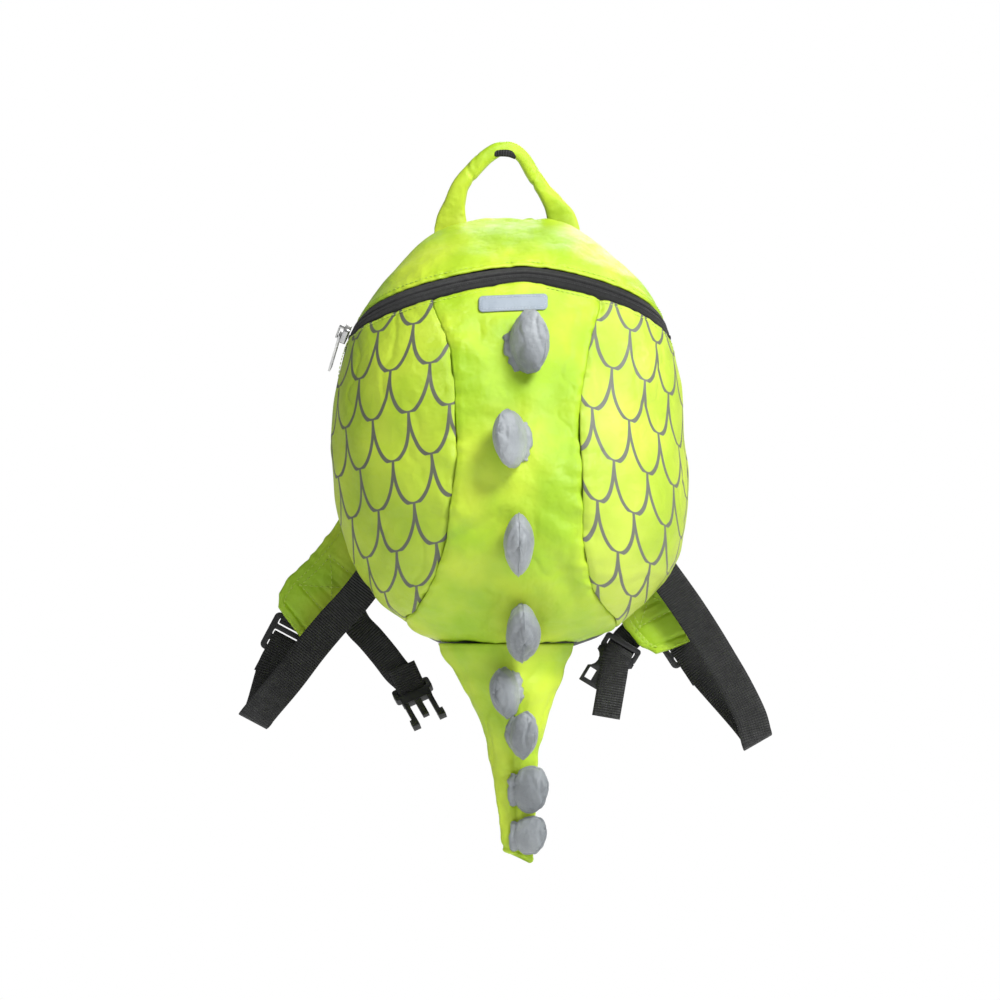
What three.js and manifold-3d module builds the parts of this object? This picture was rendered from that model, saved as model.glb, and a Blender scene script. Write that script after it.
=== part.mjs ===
// A toddler's animal backpack hanging from its grab handle. Millimetres, +Z up, the wearer's side at +Y.
// The origin is the underside of the handle's peak. Left and right are as seen from the front, at -Y.
import * as THREE from "three";
import { mergeVertices } from "three/addons/utils/BufferGeometryUtils.js";
import Module from "manifold-3d";

const wasm = await Module();
wasm.setup();

// The bag
const bodyHeight = 256;
const bodyHalfWidth = 107;
const bodyDepth = 112;
const bodyCentre = 1.8; // the bag's middle lies a little right of the handle's peak
const topDrop = 36.3; // from the handle's peak down to the top of the bag
const clothWall = 1.6;
const backThickness = 8;
const clearance = 0.3; // between pieces that lie on each other
const seamGap = 0.6; // between two panels that meet in a seam

// The zip
const zipDrop = 34.6; // from the top of the bag to the middle of the zip, at its highest
const zipSideDrop = 33.5; // from there to where it turns round the side
const zipEndDrop = 38; // and on to its end at the back panel
const zipShowing = 15.6; // the tape that shows between the two panels
const zipHem = 3.5; // the tape under each panel's edge
const tapeThickness = 1;
const tapeSink = 0.9; // how far the tape lies behind the panels' inner faces
const coilWidth = 4.6;
const coilThickness = 2;
const sliderLength = 11;
const sliderWidth = 9;
const sliderHeight = 3.6;
const archWidth = 3; // the arch on the slider that holds the puller
const archLength = 8.4;
const archBar = 1;
const archGap = 2.4;
const pullerLength = 25;
const pullerWidth = 7;
const pullerThickness = 1.2;
const pullerBar = 1.6; // the end bar under the arch
const pullerWindow = 7;
const pullerRest = -4; // degrees it lies in from the slider's face

// The label, tail and fins
const labelWidth = 41;
const labelHeight = 9.6;
const labelThickness = 0.9;
const tailLength = 128;
const tailHalfWidth = 41;
const tailDepth = 53;
const finLength = 38;
const finHeight = 26;
const finThickness = 18;

// The handle, shoulder pads and straps
const handleSpan = 85;
const handleWidth = 21;
const handleThickness = 10;
const handleLap = 12; // how far its legs reach down the back panel
const padWidth = 45;
const padThickness = 9;
const padReach = 112; // from the pad's top out to its end
const padDrop = 0.8672 * bodyHeight;
const padStandOff = 22; // how far the pad arches off the back panel
const webbingWidth = 19.5;
const webbingThickness = 1.4;
const webbingLap = 13; // the stretch that is sewn to the back panel
const loopFoldRadius = 6;
const chestWidth = 17;
const lockWidth = 28;
const lockBar = 3.2;
const lockSlot = 3.8;
const lockThickness = 3.6;
const buckleWidth = 24;
const buckleThickness = 8;
const buckleWall = 1.5;
const buckleBar = 3.2; // the bars on both sides of the slot that holds the strap
const buckleSlot = 3.6;
const socketLength = 24;
const prongLength = 22;
const reinTabWidth = 19.5;
const reinTabDrop = 31; // below the back panel

const backFace = backThickness / 2;
const seatY = -backFace - clearance; // the domed front's rear edge
const degree = Math.PI / 180;
const V = (x, y, z) => new THREE.Vector3(x, y, z);

// The bag's outline and depth from its top (at 0) to the bottom seam (at 1): the half width and the lean of
// its middle as shares of bodyHalfWidth, the depth as a share of bodyDepth.
const bodyRows = [
  { at: 0, half: 0.168, lean: 0.022, deep: 0.06 },
  { at: 0.008, half: 0.28, lean: 0.015, deep: 0.11 },
  { at: 0.02, half: 0.36, lean: 0, deep: 0.2 },
  { at: 0.046, half: 0.465, lean: -0.018, deep: 0.34 },
  { at: 0.102, half: 0.613, lean: -0.003, deep: 0.55 },
  { at: 0.158, half: 0.731, lean: 0.003, deep: 0.7 },
  { at: 0.215, half: 0.826, lean: 0.003, deep: 0.8 },
  { at: 0.271, half: 0.892, lean: -0.006, deep: 0.87 },
  { at: 0.327, half: 0.933, lean: -0.014, deep: 0.92 },
  { at: 0.44, half: 0.978, lean: -0.025, deep: 0.98 },
  { at: 0.581, half: 1, lean: -0.006, deep: 1 },
  { at: 0.665, half: 0.989, lean: 0.003, deep: 0.98 },
  { at: 0.778, half: 0.938, lean: 0.014, deep: 0.9 },
  { at: 0.834, half: 0.877, lean: 0.016, deep: 0.83 },
  { at: 0.877, half: 0.801, lean: 0.012, deep: 0.76 },
  { at: 0.907, half: 0.739, lean: 0.012, deep: 0.7 },
  { at: 0.947, half: 0.616, lean: 0.018, deep: 0.61 },
  { at: 0.978, half: 0.513, lean: 0.01, deep: 0.54 },
  { at: 1, half: 0.381, lean: -0.006, deep: 0.48 },
];
// How far round the bag the two seams of the centre panel lie: 0 is the front middle, quarterTurn the
// silhouette and 1 the back panel's edge.
const quarterTurn = 0.72;
const seamRows = [
  { at: 0.1, left: 0.32, right: 0.36 },
  { at: 0.208, left: 0.26, right: 0.3 },
  { at: 0.273, left: 0.194, right: 0.25 },
  { at: 0.325, left: 0.162, right: 0.228 },
  { at: 0.44, left: 0.138, right: 0.2 },
  { at: 0.55, left: 0.137, right: 0.19 },
  { at: 0.65, left: 0.157, right: 0.19 },
  { at: 0.75, left: 0.183, right: 0.194 },
  { at: 0.83, left: 0.235, right: 0.225 },
  { at: 0.872, left: 0.285, right: 0.265 },
  { at: 0.92, left: 0.405, right: 0.38 },
  { at: 0.947, left: 0.64, right: 0.55 },
  { at: 0.966, left: 0.84, right: 0.74 },
  { at: 0.985, left: 0.985, right: 0.985 },
];
const sidePanelEnd = 0.97; // where the side panels run out, as a share of bodyHeight
const tuckDepthShare = 0.28; // the part of the depth behind the silhouette
const tuckIn = 0.07; // how far the sides draw in to the back panel
const frontRoundness = 0.87;

// Dents (negative) and folds (positive) of the cloth: their place by turn and share of bodyHeight, their
// half length, half width and rise as shares of foldLength, foldWidth and foldRise, their slant in degrees.
const foldLength = 22;
const foldWidth = 7;
const foldRise = 2.2;
const foldRows = [
  { turn: -0.1, at: 0.62, long: 1, wide: 1, rise: -0.7, slant: 15 },
  { turn: -0.12, at: 0.74, long: 0.9, wide: 0.8, rise: -0.9, slant: -35 },
  { turn: -0.11, at: 0.31, long: 1, wide: 0.9, rise: 0.8, slant: 40 },
  { turn: -0.04, at: 0.34, long: 1.1, wide: 1, rise: -0.6, slant: 62 },
  { turn: 0.14, at: 0.71, long: 1, wide: 0.9, rise: -0.8, slant: 30 },
  { turn: 0.17, at: 0.86, long: 1, wide: 0.8, rise: -0.9, slant: 48 },
  { turn: 0.13, at: 0.45, long: 1.5, wide: 1.2, rise: -0.7, slant: 84 },
  { turn: -0.2, at: 0.93, long: 1.1, wide: 0.9, rise: -0.8, slant: -55 },
  { turn: 0.1, at: 0.96, long: 0.9, wide: 0.8, rise: -0.7, slant: 75 },
  { turn: -0.5, at: 0.66, long: 1.6, wide: 1.6, rise: -0.8, slant: 70 },
  { turn: 0.5, at: 0.42, long: 1.5, wide: 1.4, rise: -0.7, slant: -65 },
  { turn: 0.52, at: 0.78, long: 1.3, wide: 1.2, rise: 0.7, slant: 50 },
];

// The tail from the bottom seam (0) to its tip (1): half width and lean as shares of tailHalfWidth, the front
// and back faces as shares of tailDepth behind the bag's rear edge.
const tailRows = [
  { at: 0, half: 1, lean: -0.07, front: 1.02, back: 0 },
  { at: 0.065, half: 0.92, lean: -0.07, front: 1, back: 0.03 },
  { at: 0.12, half: 0.83, lean: -0.03, front: 0.97, back: 0.06 },
  { at: 0.176, half: 0.755, lean: 0, front: 0.94, back: 0.1 },
  { at: 0.287, half: 0.595, lean: 0.03, front: 0.85, back: 0.16 },
  { at: 0.4, half: 0.49, lean: 0.03, front: 0.78, back: 0.22 },
  { at: 0.51, half: 0.4, lean: 0.03, front: 0.71, back: 0.27 },
  { at: 0.62, half: 0.345, lean: 0.06, front: 0.65, back: 0.31 },
  { at: 0.73, half: 0.31, lean: 0.075, front: 0.61, back: 0.35 },
  { at: 0.86, half: 0.285, lean: 0.085, front: 0.57, back: 0.38 },
  { at: 1, half: 0.255, lean: 0.1, front: 0.54, back: 0.4 },
];
const tailTipSlant = 6; // its cut end drops this much from left to right

// A stuffed fin from its root (0) to its crest (1): half length and half thickness as shares of its own,
// sweep as a share of finLength towards its upper end.
const finRows = [
  { at: 0, long: 0.72, thick: 0.62, sweep: 0 },
  { at: 0.3, long: 0.96, thick: 0.92, sweep: 0.01 },
  { at: 0.55, long: 1, thick: 1, sweep: 0.03 },
  { at: 0.78, long: 0.84, thick: 0.84, sweep: 0.06 },
  { at: 0.93, long: 0.55, thick: 0.52, sweep: 0.1 },
  { at: 1, long: 0.2, thick: 0.2, sweep: 0.12 },
];
// The eight fins down the middle: the middle of each root (turn and share down the bag, or side and share
// down the tail), size as shares of the fin sizes, lean to the right in degrees.
const finPlaces = [
  { on: "bag", turn: 0.016, at: 0.318, long: 1, high: 1.02, thick: 0.95, lean: 46, tilt: 14 },
  { on: "bag", turn: 0.034, at: 0.528, long: 0.92, high: 0.96, thick: 0.95, lean: -38, tilt: -4 },
  { on: "bag", turn: 0.014, at: 0.754, long: 1.06, high: 0.95, thick: 1.02, lean: 0, tilt: -2 },
  { on: "bag", turn: 0.028, at: 0.948, long: 1.18, high: 0.9, thick: 1.18, lean: 3, tilt: 2 },
  { on: "tail", side: 0.05, at: 0.205, long: 0.86, high: 0.78, thick: 0.86, lean: -32, tilt: 4 },
  { on: "tail", side: 0.05, at: 0.412, long: 0.78, high: 0.74, thick: 0.8, lean: 36, tilt: -4 },
  { on: "tail", side: 0.02, at: 0.684, long: 0.76, high: 0.86, thick: 0.76, lean: 58, tilt: 0 },
  { on: "tail", side: 0, at: 0.9, long: 0.64, high: 0.8, thick: 0.72, lean: 58, tilt: 0 },
];

// The grab handle, a taut arch: its middle line and widths as shares of handleSpan (side, up), handleWidth
// and handleThickness; back is its distance behind the peak as a share of the legs' distance.
const handleRows = [
  { side: -0.41, up: -0.63, wide: 1, thick: 0.4, back: 1 },
  { side: -0.405, up: -0.52, wide: 1, thick: 0.4, back: 1 },
  { side: -0.4, up: -0.43, wide: 0.86, thick: 0.5, back: 0.95 },
  { side: -0.378, up: -0.33, wide: 0.62, thick: 0.85, back: 0.85 },
  { side: -0.335, up: -0.2, wide: 0.5, thick: 1, back: 0.65 },
  { side: -0.255, up: -0.1, wide: 0.47, thick: 1, back: 0.4 },
  { side: -0.16, up: -0.005, wide: 0.46, thick: 1, back: 0.15 },
  { side: -0.06, up: 0.055, wide: 0.44, thick: 1, back: 0 },
  { side: 0.03, up: 0.054, wide: 0.43, thick: 1, back: 0 },
  { side: 0.1, up: 0.003, wide: 0.42, thick: 1, back: 0.15 },
  { side: 0.18, up: -0.125, wide: 0.42, thick: 1, back: 0.45 },
  { side: 0.255, up: -0.235, wide: 0.46, thick: 0.95, back: 0.7 },
  { side: 0.325, up: -0.335, wide: 0.62, thick: 0.7, back: 0.88 },
  { side: 0.372, up: -0.425, wide: 0.85, thick: 0.5, back: 0.96 },
  { side: 0.392, up: -0.52, wide: 1, thick: 0.4, back: 1 },
  { side: 0.4, up: -0.63, wide: 1, thick: 0.4, back: 1 },
];

// The shoulder pads from the back panel's top to their ends: out, down and off are shares of padReach,
// padDrop and padStandOff, wide and thick of the pad's own sizes.
const padRows = {
  left: [
    { out: 0, down: 0, off: 0, wide: 0.78, thick: 0.7 },
    { out: 0.04, down: 0.1, off: 0.14, wide: 0.85, thick: 0.9 },
    { out: 0.1, down: 0.25, off: 0.6, wide: 0.92, thick: 1 },
    { out: 0.2, down: 0.43, off: 0.95, wide: 0.98, thick: 1 },
    { out: 0.34, down: 0.62, off: 1, wide: 1, thick: 1 },
    { out: 0.5, down: 0.78, off: 0.85, wide: 1, thick: 1 },
    { out: 0.66, down: 0.885, off: 0.66, wide: 1, thick: 1 },
    { out: 0.8, down: 0.95, off: 0.54, wide: 0.97, thick: 0.95 },
    { out: 0.885, down: 0.985, off: 0.5, wide: 0.8, thick: 0.8 },
    { out: 0.925, down: 1, off: 0.49, wide: 0.52, thick: 0.55 },
  ],
  right: [
    { out: 0, down: 0, off: 0, wide: 0.78, thick: 0.7 },
    { out: 0.03, down: 0.1, off: 0.14, wide: 0.85, thick: 0.9 },
    { out: 0.07, down: 0.25, off: 0.6, wide: 0.92, thick: 1 },
    { out: 0.14, down: 0.43, off: 0.95, wide: 0.98, thick: 1 },
    { out: 0.25, down: 0.62, off: 1, wide: 1, thick: 1 },
    { out: 0.35, down: 0.77, off: 0.85, wide: 1, thick: 1 },
    { out: 0.435, down: 0.883, off: 0.68, wide: 1, thick: 1 },
    { out: 0.52, down: 0.97, off: 0.58, wide: 0.97, thick: 0.95 },
    { out: 0.585, down: 1.035, off: 0.52, wide: 0.8, thick: 0.8 },
    { out: 0.61, down: 1.068, off: 0.5, wide: 0.52, thick: 0.55 },
  ],
};
const padTopSide = 30; // from the middle of the bag out to the middle of a pad's top
const padTopDrop = 22; // below the top of the bag

// The webbing loops: the front branch's middle line from the bag's lower edge down to the fold, as shares of
// loopDrop; cross is the direction of the width in degrees, in the plane of the bag's front.
const loopDrop = 87;
const loopAt = { left: 0.845, right: 0.827 };
const loopRows = {
  left: [
    { out: 0, down: 0, cross: -39 },
    { out: 0.125, down: 0.161, cross: -39 },
    { out: 0.252, down: 0.299, cross: -39 },
    { out: 0.413, down: 0.49, cross: -38 },
    { out: 0.58, down: 0.71, cross: -35 },
    { out: 0.732, down: 0.89, cross: -31 },
    { out: 0.822, down: 1, cross: -28 },
  ],
  right: [
    { out: 0, down: 0, cross: 38 },
    { out: 0.186, down: 0.26, cross: 36 },
    { out: 0.307, down: 0.446, cross: 33 },
    { out: 0.428, down: 0.646, cross: 32 },
    { out: 0.524, down: 0.811, cross: 31 },
    { out: 0.63, down: 1.03, cross: 29 },
    { out: 0.676, down: 1.2, cross: 30 },
  ],
};
// The ladder locks: place as shares of loopDrop from the start of the webbing, and the lock's slant.
const lockPlaces = {
  left: { out: 0.58, down: 0.434, slant: -28 },
  right: { out: 0.162, down: 0.502, slant: 33 },
};

// The chest strap's two halves, as routes from each pad: out from the middle and down from the top of the
// bag as shares of bodyHalfWidth and bodyHeight, off the back panel as a share of padStandOff more than a
// pad's thickness, or lying on the pad's rear face.
const chestRows = {
  left: [
    { out: -0.97, down: 0.865, off: "pad", cross: 42 },
    { out: -0.925, down: 0.905, off: "pad", cross: 42 },
    { out: -0.869, down: 0.957, off: 0.66, cross: 42 },
    { out: -0.792, down: 0.992, off: 0.58, cross: 40 },
    { out: -0.712, down: 1.032, off: 0.5, cross: 38 },
    { out: -0.645, down: 1.068, off: 0.42, cross: 33 },
  ],
  right: [
    { out: 0.86, down: 0.9, off: "pad", cross: -42 },
    { out: 0.79, down: 0.927, off: "pad", cross: -40 },
    { out: 0.735, down: 0.953, off: 0.62, cross: -38 },
    { out: 0.685, down: 0.98, off: 0.5, cross: -34 },
  ],
};
// The buckle's halves: the middle of the bar that holds the strap, as shares of bodyHalfWidth, bodyHeight
// and padStandOff, and the ways its length and its width point.
const bucklePlaces = {
  left: { out: -0.555, down: 1.115, off: 0.3, lengthWay: [-0.36, -0.62, -0.7], widthWay: [0.9, 0.1, 0.4] },
  right: { out: 0.62, down: 1.014, off: 0.34, lengthWay: [-0.517, 0, -0.856], widthWay: [0.856, 0, -0.517] },
};
const freeEndLength = 38; // what hangs from the right half's buckle

// Curves and meshes

// One column of a table as a smooth function of the share along it, with no overshoot between rows.
function column(rows, name) {
  const at = rows.map((row) => row.at);
  const value = rows.map((row) => row[name]);
  const last = rows.length - 1;
  const rise = at.slice(1).map((a, i) => (value[i + 1] - value[i]) / (a - at[i]));
  const slope = value.map((v, i) => {
    if (i === 0) return rise[0];
    if (i === last) return rise[last - 1];
    const product = rise[i - 1] * rise[i];
    return product > 0 ? (2 * product) / (rise[i - 1] + rise[i]) : 0;
  });
  return (share) => {
    if (share <= at[0]) return value[0] + slope[0] * (share - at[0]);
    if (share >= at[last]) return value[last] + slope[last] * (share - at[last]);
    const i = at.findIndex((a) => a > share) - 1;
    const span = at[i + 1] - at[i];
    const f = (share - at[i]) / span;
    const g = 1 - f;
    return (
      value[i] * g * g * (1 + 2 * f) +
      value[i + 1] * f * f * (3 - 2 * f) +
      span * f * g * (slope[i] * g - slope[i + 1] * f)
    );
  };
}

const range = (count) => Array.from({ length: count }, (_, i) => i);
const lerp = (a, b, f) => a + (b - a) * f;

// A closed mesh from points and polygons of three or four corners, its faces turned outwards.
function closedMesh(points, polygons) {
  const index = [];
  for (const p of polygons) {
    index.push(p[0], p[1], p[2]);
    if (p.length === 4) index.push(p[0], p[2], p[3]);
  }
  let volume = 0;
  const cross = V(0, 0, 0);
  for (let i = 0; i < index.length; i += 3) {
    cross.crossVectors(points[index[i + 1]], points[index[i + 2]]);
    volume += points[index[i]].dot(cross);
  }
  if (volume < 0) index.reverse();
  const geometry = new THREE.BufferGeometry().setFromPoints(points);
  return geometry.setIndex(index);
}

// A wall between two grids of points, closed along its four edges.
function wallBetween(outer, inner) {
  const rows = outer.length;
  const cols = outer[0].length;
  const points = [...outer.flat(), ...inner.flat()];
  const front = (i, j) => i * cols + j;
  const back = (i, j) => rows * cols + i * cols + j;
  const polygons = [];
  for (const i of range(rows - 1)) {
    for (const j of range(cols - 1)) {
      polygons.push([front(i, j), front(i + 1, j), front(i + 1, j + 1), front(i, j + 1)]);
      polygons.push([back(i, j), back(i, j + 1), back(i + 1, j + 1), back(i + 1, j)]);
    }
    polygons.push([front(i, 0), back(i, 0), back(i + 1, 0), front(i + 1, 0)]);
    polygons.push([front(i, cols - 1), front(i + 1, cols - 1), back(i + 1, cols - 1), back(i, cols - 1)]);
  }
  for (const j of range(cols - 1)) {
    polygons.push([front(0, j), front(0, j + 1), back(0, j + 1), back(0, j)]);
    polygons.push([front(rows - 1, j), back(rows - 1, j), back(rows - 1, j + 1), front(rows - 1, j + 1)]);
  }
  return closedMesh(points, polygons);
}

// A solid through closed rings of points, with a fan at each end.
function loft(rings) {
  const count = rings[0].length;
  const points = rings.flat();
  const polygons = [];
  for (const i of range(rings.length - 1)) {
    for (const j of range(count)) {
      const k = (j + 1) % count;
      polygons.push([i * count + j, i * count + k, (i + 1) * count + k, (i + 1) * count + j]);
    }
  }
  for (const end of [0, rings.length - 1]) {
    const middle = rings[end].reduce((sum, p) => sum.add(p), V(0, 0, 0)).divideScalar(count);
    points.push(middle);
    for (const j of range(count)) {
      const k = (j + 1) % count;
      const fan = [end * count + j, end * count + k, points.length - 1];
      polygons.push(end ? fan : fan.reverse());
    }
  }
  return closedMesh(points, polygons);
}

// A flat band through stations of { p, cross, wide, thick }: cross is the direction of its width.
function band(stations, round = 0) {
  const last = stations.length - 1;
  const rings = stations.map((s, i) => {
    const ahead = stations[Math.min(i + 1, last)].p;
    const behind = stations[Math.max(i - 1, 0)].p;
    const along = ahead.clone().sub(behind).normalize();
    const cross = s.cross.clone().addScaledVector(along, -s.cross.dot(along)).normalize();
    const face = along.clone().cross(cross);
    return ringSection(round).map(([w, t]) =>
      s.p.clone().addScaledVector(cross, (w * s.wide) / 2).addScaledVector(face, (t * s.thick) / 2),
    );
  });
  return loft(rings);
}

// The cross-section of a band in shares of its half width and half thickness: a strip's four corners, or a
// rounded bar of the given number of corners.
function ringSection(round) {
  if (!round) return [[-1, -1], [1, -1], [1, 1], [-1, 1]];
  return range(round).map((i) => {
    const a = (i + 0.5) * ((2 * Math.PI) / round);
    const full = (v) => Math.sign(v) * Math.pow(Math.abs(v), 0.7);
    return [full(Math.cos(a)), full(Math.sin(a))];
  });
}

// Stations along a smooth line through rows of { p, cross, wide, thick }.
function stationsThrough(rows, count) {
  const curve = new THREE.CatmullRomCurve3(rows.map((row) => row.p), false, "centripetal");
  const last = rows.length - 1;
  return range(count).map((i) => {
    const t = i / (count - 1);
    const k = Math.min(Math.floor(t * last), last - 1);
    const f = t * last - k;
    return {
      p: curve.getPoint(t),
      cross: rows[k].cross.clone().lerp(rows[k + 1].cross, f),
      wide: lerp(rows[k].wide, rows[k + 1].wide, f),
      thick: lerp(rows[k].thick, rows[k + 1].thick, f),
    };
  });
}

// A plate cut from a shape, its thickness centred on its own plane.
function plate(shape, thickness) {
  const geometry = new THREE.ExtrudeGeometry(shape, { depth: thickness, bevelEnabled: false, curveSegments: 2 });
  return geometry.translate(0, 0, -thickness / 2);
}

// A rectangle with cut or round corners as a shape, or as a hole for one.
function roundedRectangle(width, height, radius, centreY = 0, Kind = THREE.Shape) {
  const w = width / 2;
  const h = height / 2;
  const path = new Kind();
  path.moveTo(-w + radius, centreY - h);
  path.lineTo(w - radius, centreY - h);
  path.absarc(w - radius, centreY - h + radius, radius, -Math.PI / 2, 0);
  path.lineTo(w, centreY + h - radius);
  path.absarc(w - radius, centreY + h - radius, radius, 0, Math.PI / 2);
  path.lineTo(-w + radius, centreY + h);
  path.absarc(-w + radius, centreY + h - radius, radius, Math.PI / 2, Math.PI);
  path.lineTo(-w, centreY - h + radius);
  path.absarc(-w + radius, centreY - h + radius, radius, Math.PI, 1.5 * Math.PI);
  return path;
}

function block(sizeX, sizeY, sizeZ, x = 0, y = 0, z = 0) {
  return new THREE.BoxGeometry(sizeX, sizeY, sizeZ).translate(x, y, z);
}

function solidOf(geometry) {
  const bare = geometry.clone();
  bare.deleteAttribute("normal");
  bare.deleteAttribute("uv");
  const merged = mergeVertices(bare, 1e-4);
  return new wasm.Manifold(
    new wasm.Mesh({
      numProp: 3,
      vertProperties: merged.attributes.position.array,
      triVerts: new Uint32Array(merged.index.array),
    }),
  );
}

function geometryOf(solid) {
  const mesh = solid.getMesh();
  const geometry = new THREE.BufferGeometry();
  geometry.setAttribute("position", new THREE.BufferAttribute(mesh.vertProperties, 3));
  return geometry.setIndex(new THREE.BufferAttribute(mesh.triVerts, 1));
}

const joined = (geometries) =>
  geometryOf(geometries.map(solidOf).reduce((whole, piece) => whole.add(piece)));

// The matrix of a place with its own X and Y directions; Z completes them.
function placeAt(origin, xWay, yWay) {
  const x = xWay.clone().normalize();
  const y = yWay.clone().addScaledVector(x, -yWay.dot(x)).normalize();
  return new THREE.Matrix4().makeBasis(x, y, x.clone().cross(y)).setPosition(origin);
}

// The bag's skin

const halfAt = column(bodyRows, "half");
const leanAt = column(bodyRows, "lean");
const deepAt = column(bodyRows, "deep");
const seamLeft = column(seamRows, "left");
const seamRight = column(seamRows, "right");

// The skin without its folds: turn runs from -1 at the back panel's left edge through 0 at the front middle
// to 1 at its right edge, down from 0 at the top to 1 at the bottom seam.
function plainSkin(turn, down) {
  const half = halfAt(down) * bodyHalfWidth;
  const deep = deepAt(down) * bodyDepth;
  const tuckDepth = tuckDepthShare * deep;
  const quarter = Math.abs(turn) / quarterTurn;
  let side = half * Math.sin((Math.min(quarter, 1) * Math.PI) / 2);
  let back = -tuckDepth;
  if (quarter <= 1) {
    back -= (deep - tuckDepth) * Math.pow(Math.cos((quarter * Math.PI) / 2), frontRoundness);
  } else {
    const share = (quarter - 1) / (1 / quarterTurn - 1);
    side = half * (1 - tuckIn * share * share);
    back = -tuckDepth * (1 - share);
  }
  const x = bodyCentre + leanAt(down) * bodyHalfWidth + Math.sign(turn) * side;
  return V(x, seatY + back, -topDrop - down * bodyHeight);
}

// The two directions of the skin at a point, per unit of turn and of down, and its outward normal.
function skinFrame(turn, down) {
  const step = 0.004;
  const byTurn = plainSkin(turn + step, down).sub(plainSkin(turn - step, down)).divideScalar(2 * step);
  const byDown = plainSkin(turn, down + step).sub(plainSkin(turn, down - step)).divideScalar(2 * step);
  const normal = byTurn.clone().cross(byDown).normalize();
  if (normal.y * Math.cos(turn * 2) + normal.x * -Math.sign(turn) * Math.abs(Math.sin(turn * 2)) > 0) {
    normal.negate();
  }
  return { byTurn, byDown, normal };
}

function foldHeight(turn, down) {
  let height = 0;
  for (const row of foldRows) {
    const x = (turn - row.turn) * bodyHalfWidth * 1.9;
    const z = (down - row.at) * bodyHeight;
    const c = Math.cos(row.slant * degree);
    const s = Math.sin(row.slant * degree);
    const alongFold = (x * c + z * s) / (row.long * foldLength);
    const acrossFold = (z * c - x * s) / (row.wide * foldWidth);
    height += row.rise * foldRise * Math.exp(-alongFold * alongFold - acrossFold * acrossFold);
  }
  return height;
}

// The skin with its folds, lifted outwards by a distance.
function skin(turn, down, lift = 0) {
  return plainSkin(turn, down).addScaledVector(skinFrame(turn, down).normal, lift + foldHeight(turn, down));
}

// The skin place that lies a short way from another along a direction in space.
function slide(turn, down, way) {
  const { byTurn, byDown } = skinFrame(turn, down);
  const a = byTurn.dot(byTurn);
  const b = byTurn.dot(byDown);
  const c = byDown.dot(byDown);
  const u = byTurn.dot(way);
  const v = byDown.dot(way);
  const det = a * c - b * b;
  return [turn + (c * u - b * v) / det, down + (a * v - b * u) / det];
}

// The zip's line on the skin

const zipApex = 0.05; // the turn where it is highest
const zipBow = 1.55;

function zipLine(turn) {
  const side = Math.abs(turn - zipApex) / (quarterTurn - Math.sign(turn - zipApex) * zipApex);
  const behind = Math.max(0, (Math.abs(turn) - quarterTurn) / (1 - quarterTurn));
  const drop = zipDrop + zipSideDrop * Math.pow(Math.min(side, 1), zipBow) + zipEndDrop * behind;
  return drop / bodyHeight;
}

function zipFrame(turn) {
  const step = 0.01;
  const down = zipLine(turn);
  const along = plainSkin(turn + step, zipLine(turn + step)).sub(plainSkin(turn - step, zipLine(turn - step)));
  const { normal } = skinFrame(turn, down);
  const up = along.normalize().clone().cross(normal).normalize();
  if (up.z < 0) up.negate();
  return { down, along, normal, up };
}

// A line that runs beside the zip at a distance above it (or below, if negative), as samples of
// { zip, turn, down } that reach past the back panel's edges.
function besideZip(offset) {
  const samples = 121;
  const reach = 1.3;
  return range(samples).map((i) => {
    const zip = lerp(-reach, reach, i / (samples - 1));
    const { down, up } = zipFrame(zip);
    const half = slide(zip, down, up.clone().multiplyScalar(offset / 2));
    const [turn, level] = slide(half[0], half[1], up.clone().multiplyScalar(offset / 2));
    return { zip, turn, down: level };
  });
}

// The value of one field of ordered samples where another field has a given value.
function lookUp(samples, by, field, wanted) {
  let i = samples.findIndex((s) => s[by] > wanted);
  i = Math.min(Math.max(i < 0 ? samples.length - 1 : i, 1), samples.length - 1);
  const a = samples[i - 1];
  const b = samples[i];
  return lerp(a[field], b[field], (wanted - a[by]) / (b[by] - a[by]));
}

const rimTurn = 0.999;
const upperHem = besideZip(zipShowing / 2);
const lowerHem = besideZip(-zipShowing / 2);
const lowerHemAt = (turn) => lookUp(lowerHem, "turn", "down", turn);

// A strip that follows the zip between two offsets, with its outer and inner faces at two lifts.
function zipStrip(offsets, outerLift, thickness, cols) {
  const rows = offsets.map((offset) => {
    const samples = besideZip(offset);
    const from = lookUp(samples, "turn", "zip", -rimTurn);
    const to = lookUp(samples, "turn", "zip", rimTurn);
    return range(cols).map((j) => {
      const zip = lerp(from, to, j / (cols - 1));
      return [lookUp(samples, "zip", "turn", zip), lookUp(samples, "zip", "down", zip)];
    });
  });
  const at = (lift) => rows.map((row) => row.map(([turn, down]) => skin(turn, down, lift)));
  return wallBetween(at(outerLift), at(outerLift - thickness));
}

// The panels

// A grid of skin places for a panel that hangs from the zip's lower hem between two edges down to
// sidePanelEnd, with more rows below that if it goes on to the bottom seam.
function hangingPanel(from, to, cols, rowsBelow = 0) {
  const turnAt = (share, down) => lerp(from(down), to(down), share);
  const rows = 17;
  return range(rows + rowsBelow).map((i) =>
    range(cols).map((j) => {
      const share = j / (cols - 1);
      let top = 0.2;
      for (const pass of range(12)) top = lerp(top, lowerHemAt(turnAt(share, top)), pass ? 0.7 : 1);
      const down =
        i < rows
          ? lerp(sidePanelEnd, top, Math.pow(1 - i / (rows - 1), 1.4))
          : lerp(sidePanelEnd, 1, (i - rows + 1) / rowsBelow);
      return [turnAt(share, down), down];
    }),
  );
}

function panelWall(places, outerLift = 0, thickness = clothWall) {
  const at = (lift) => places.map((row) => row.map(([turn, down]) => skin(turn, down, lift)));
  return wallBetween(at(outerLift), at(outerLift - thickness));
}

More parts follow.
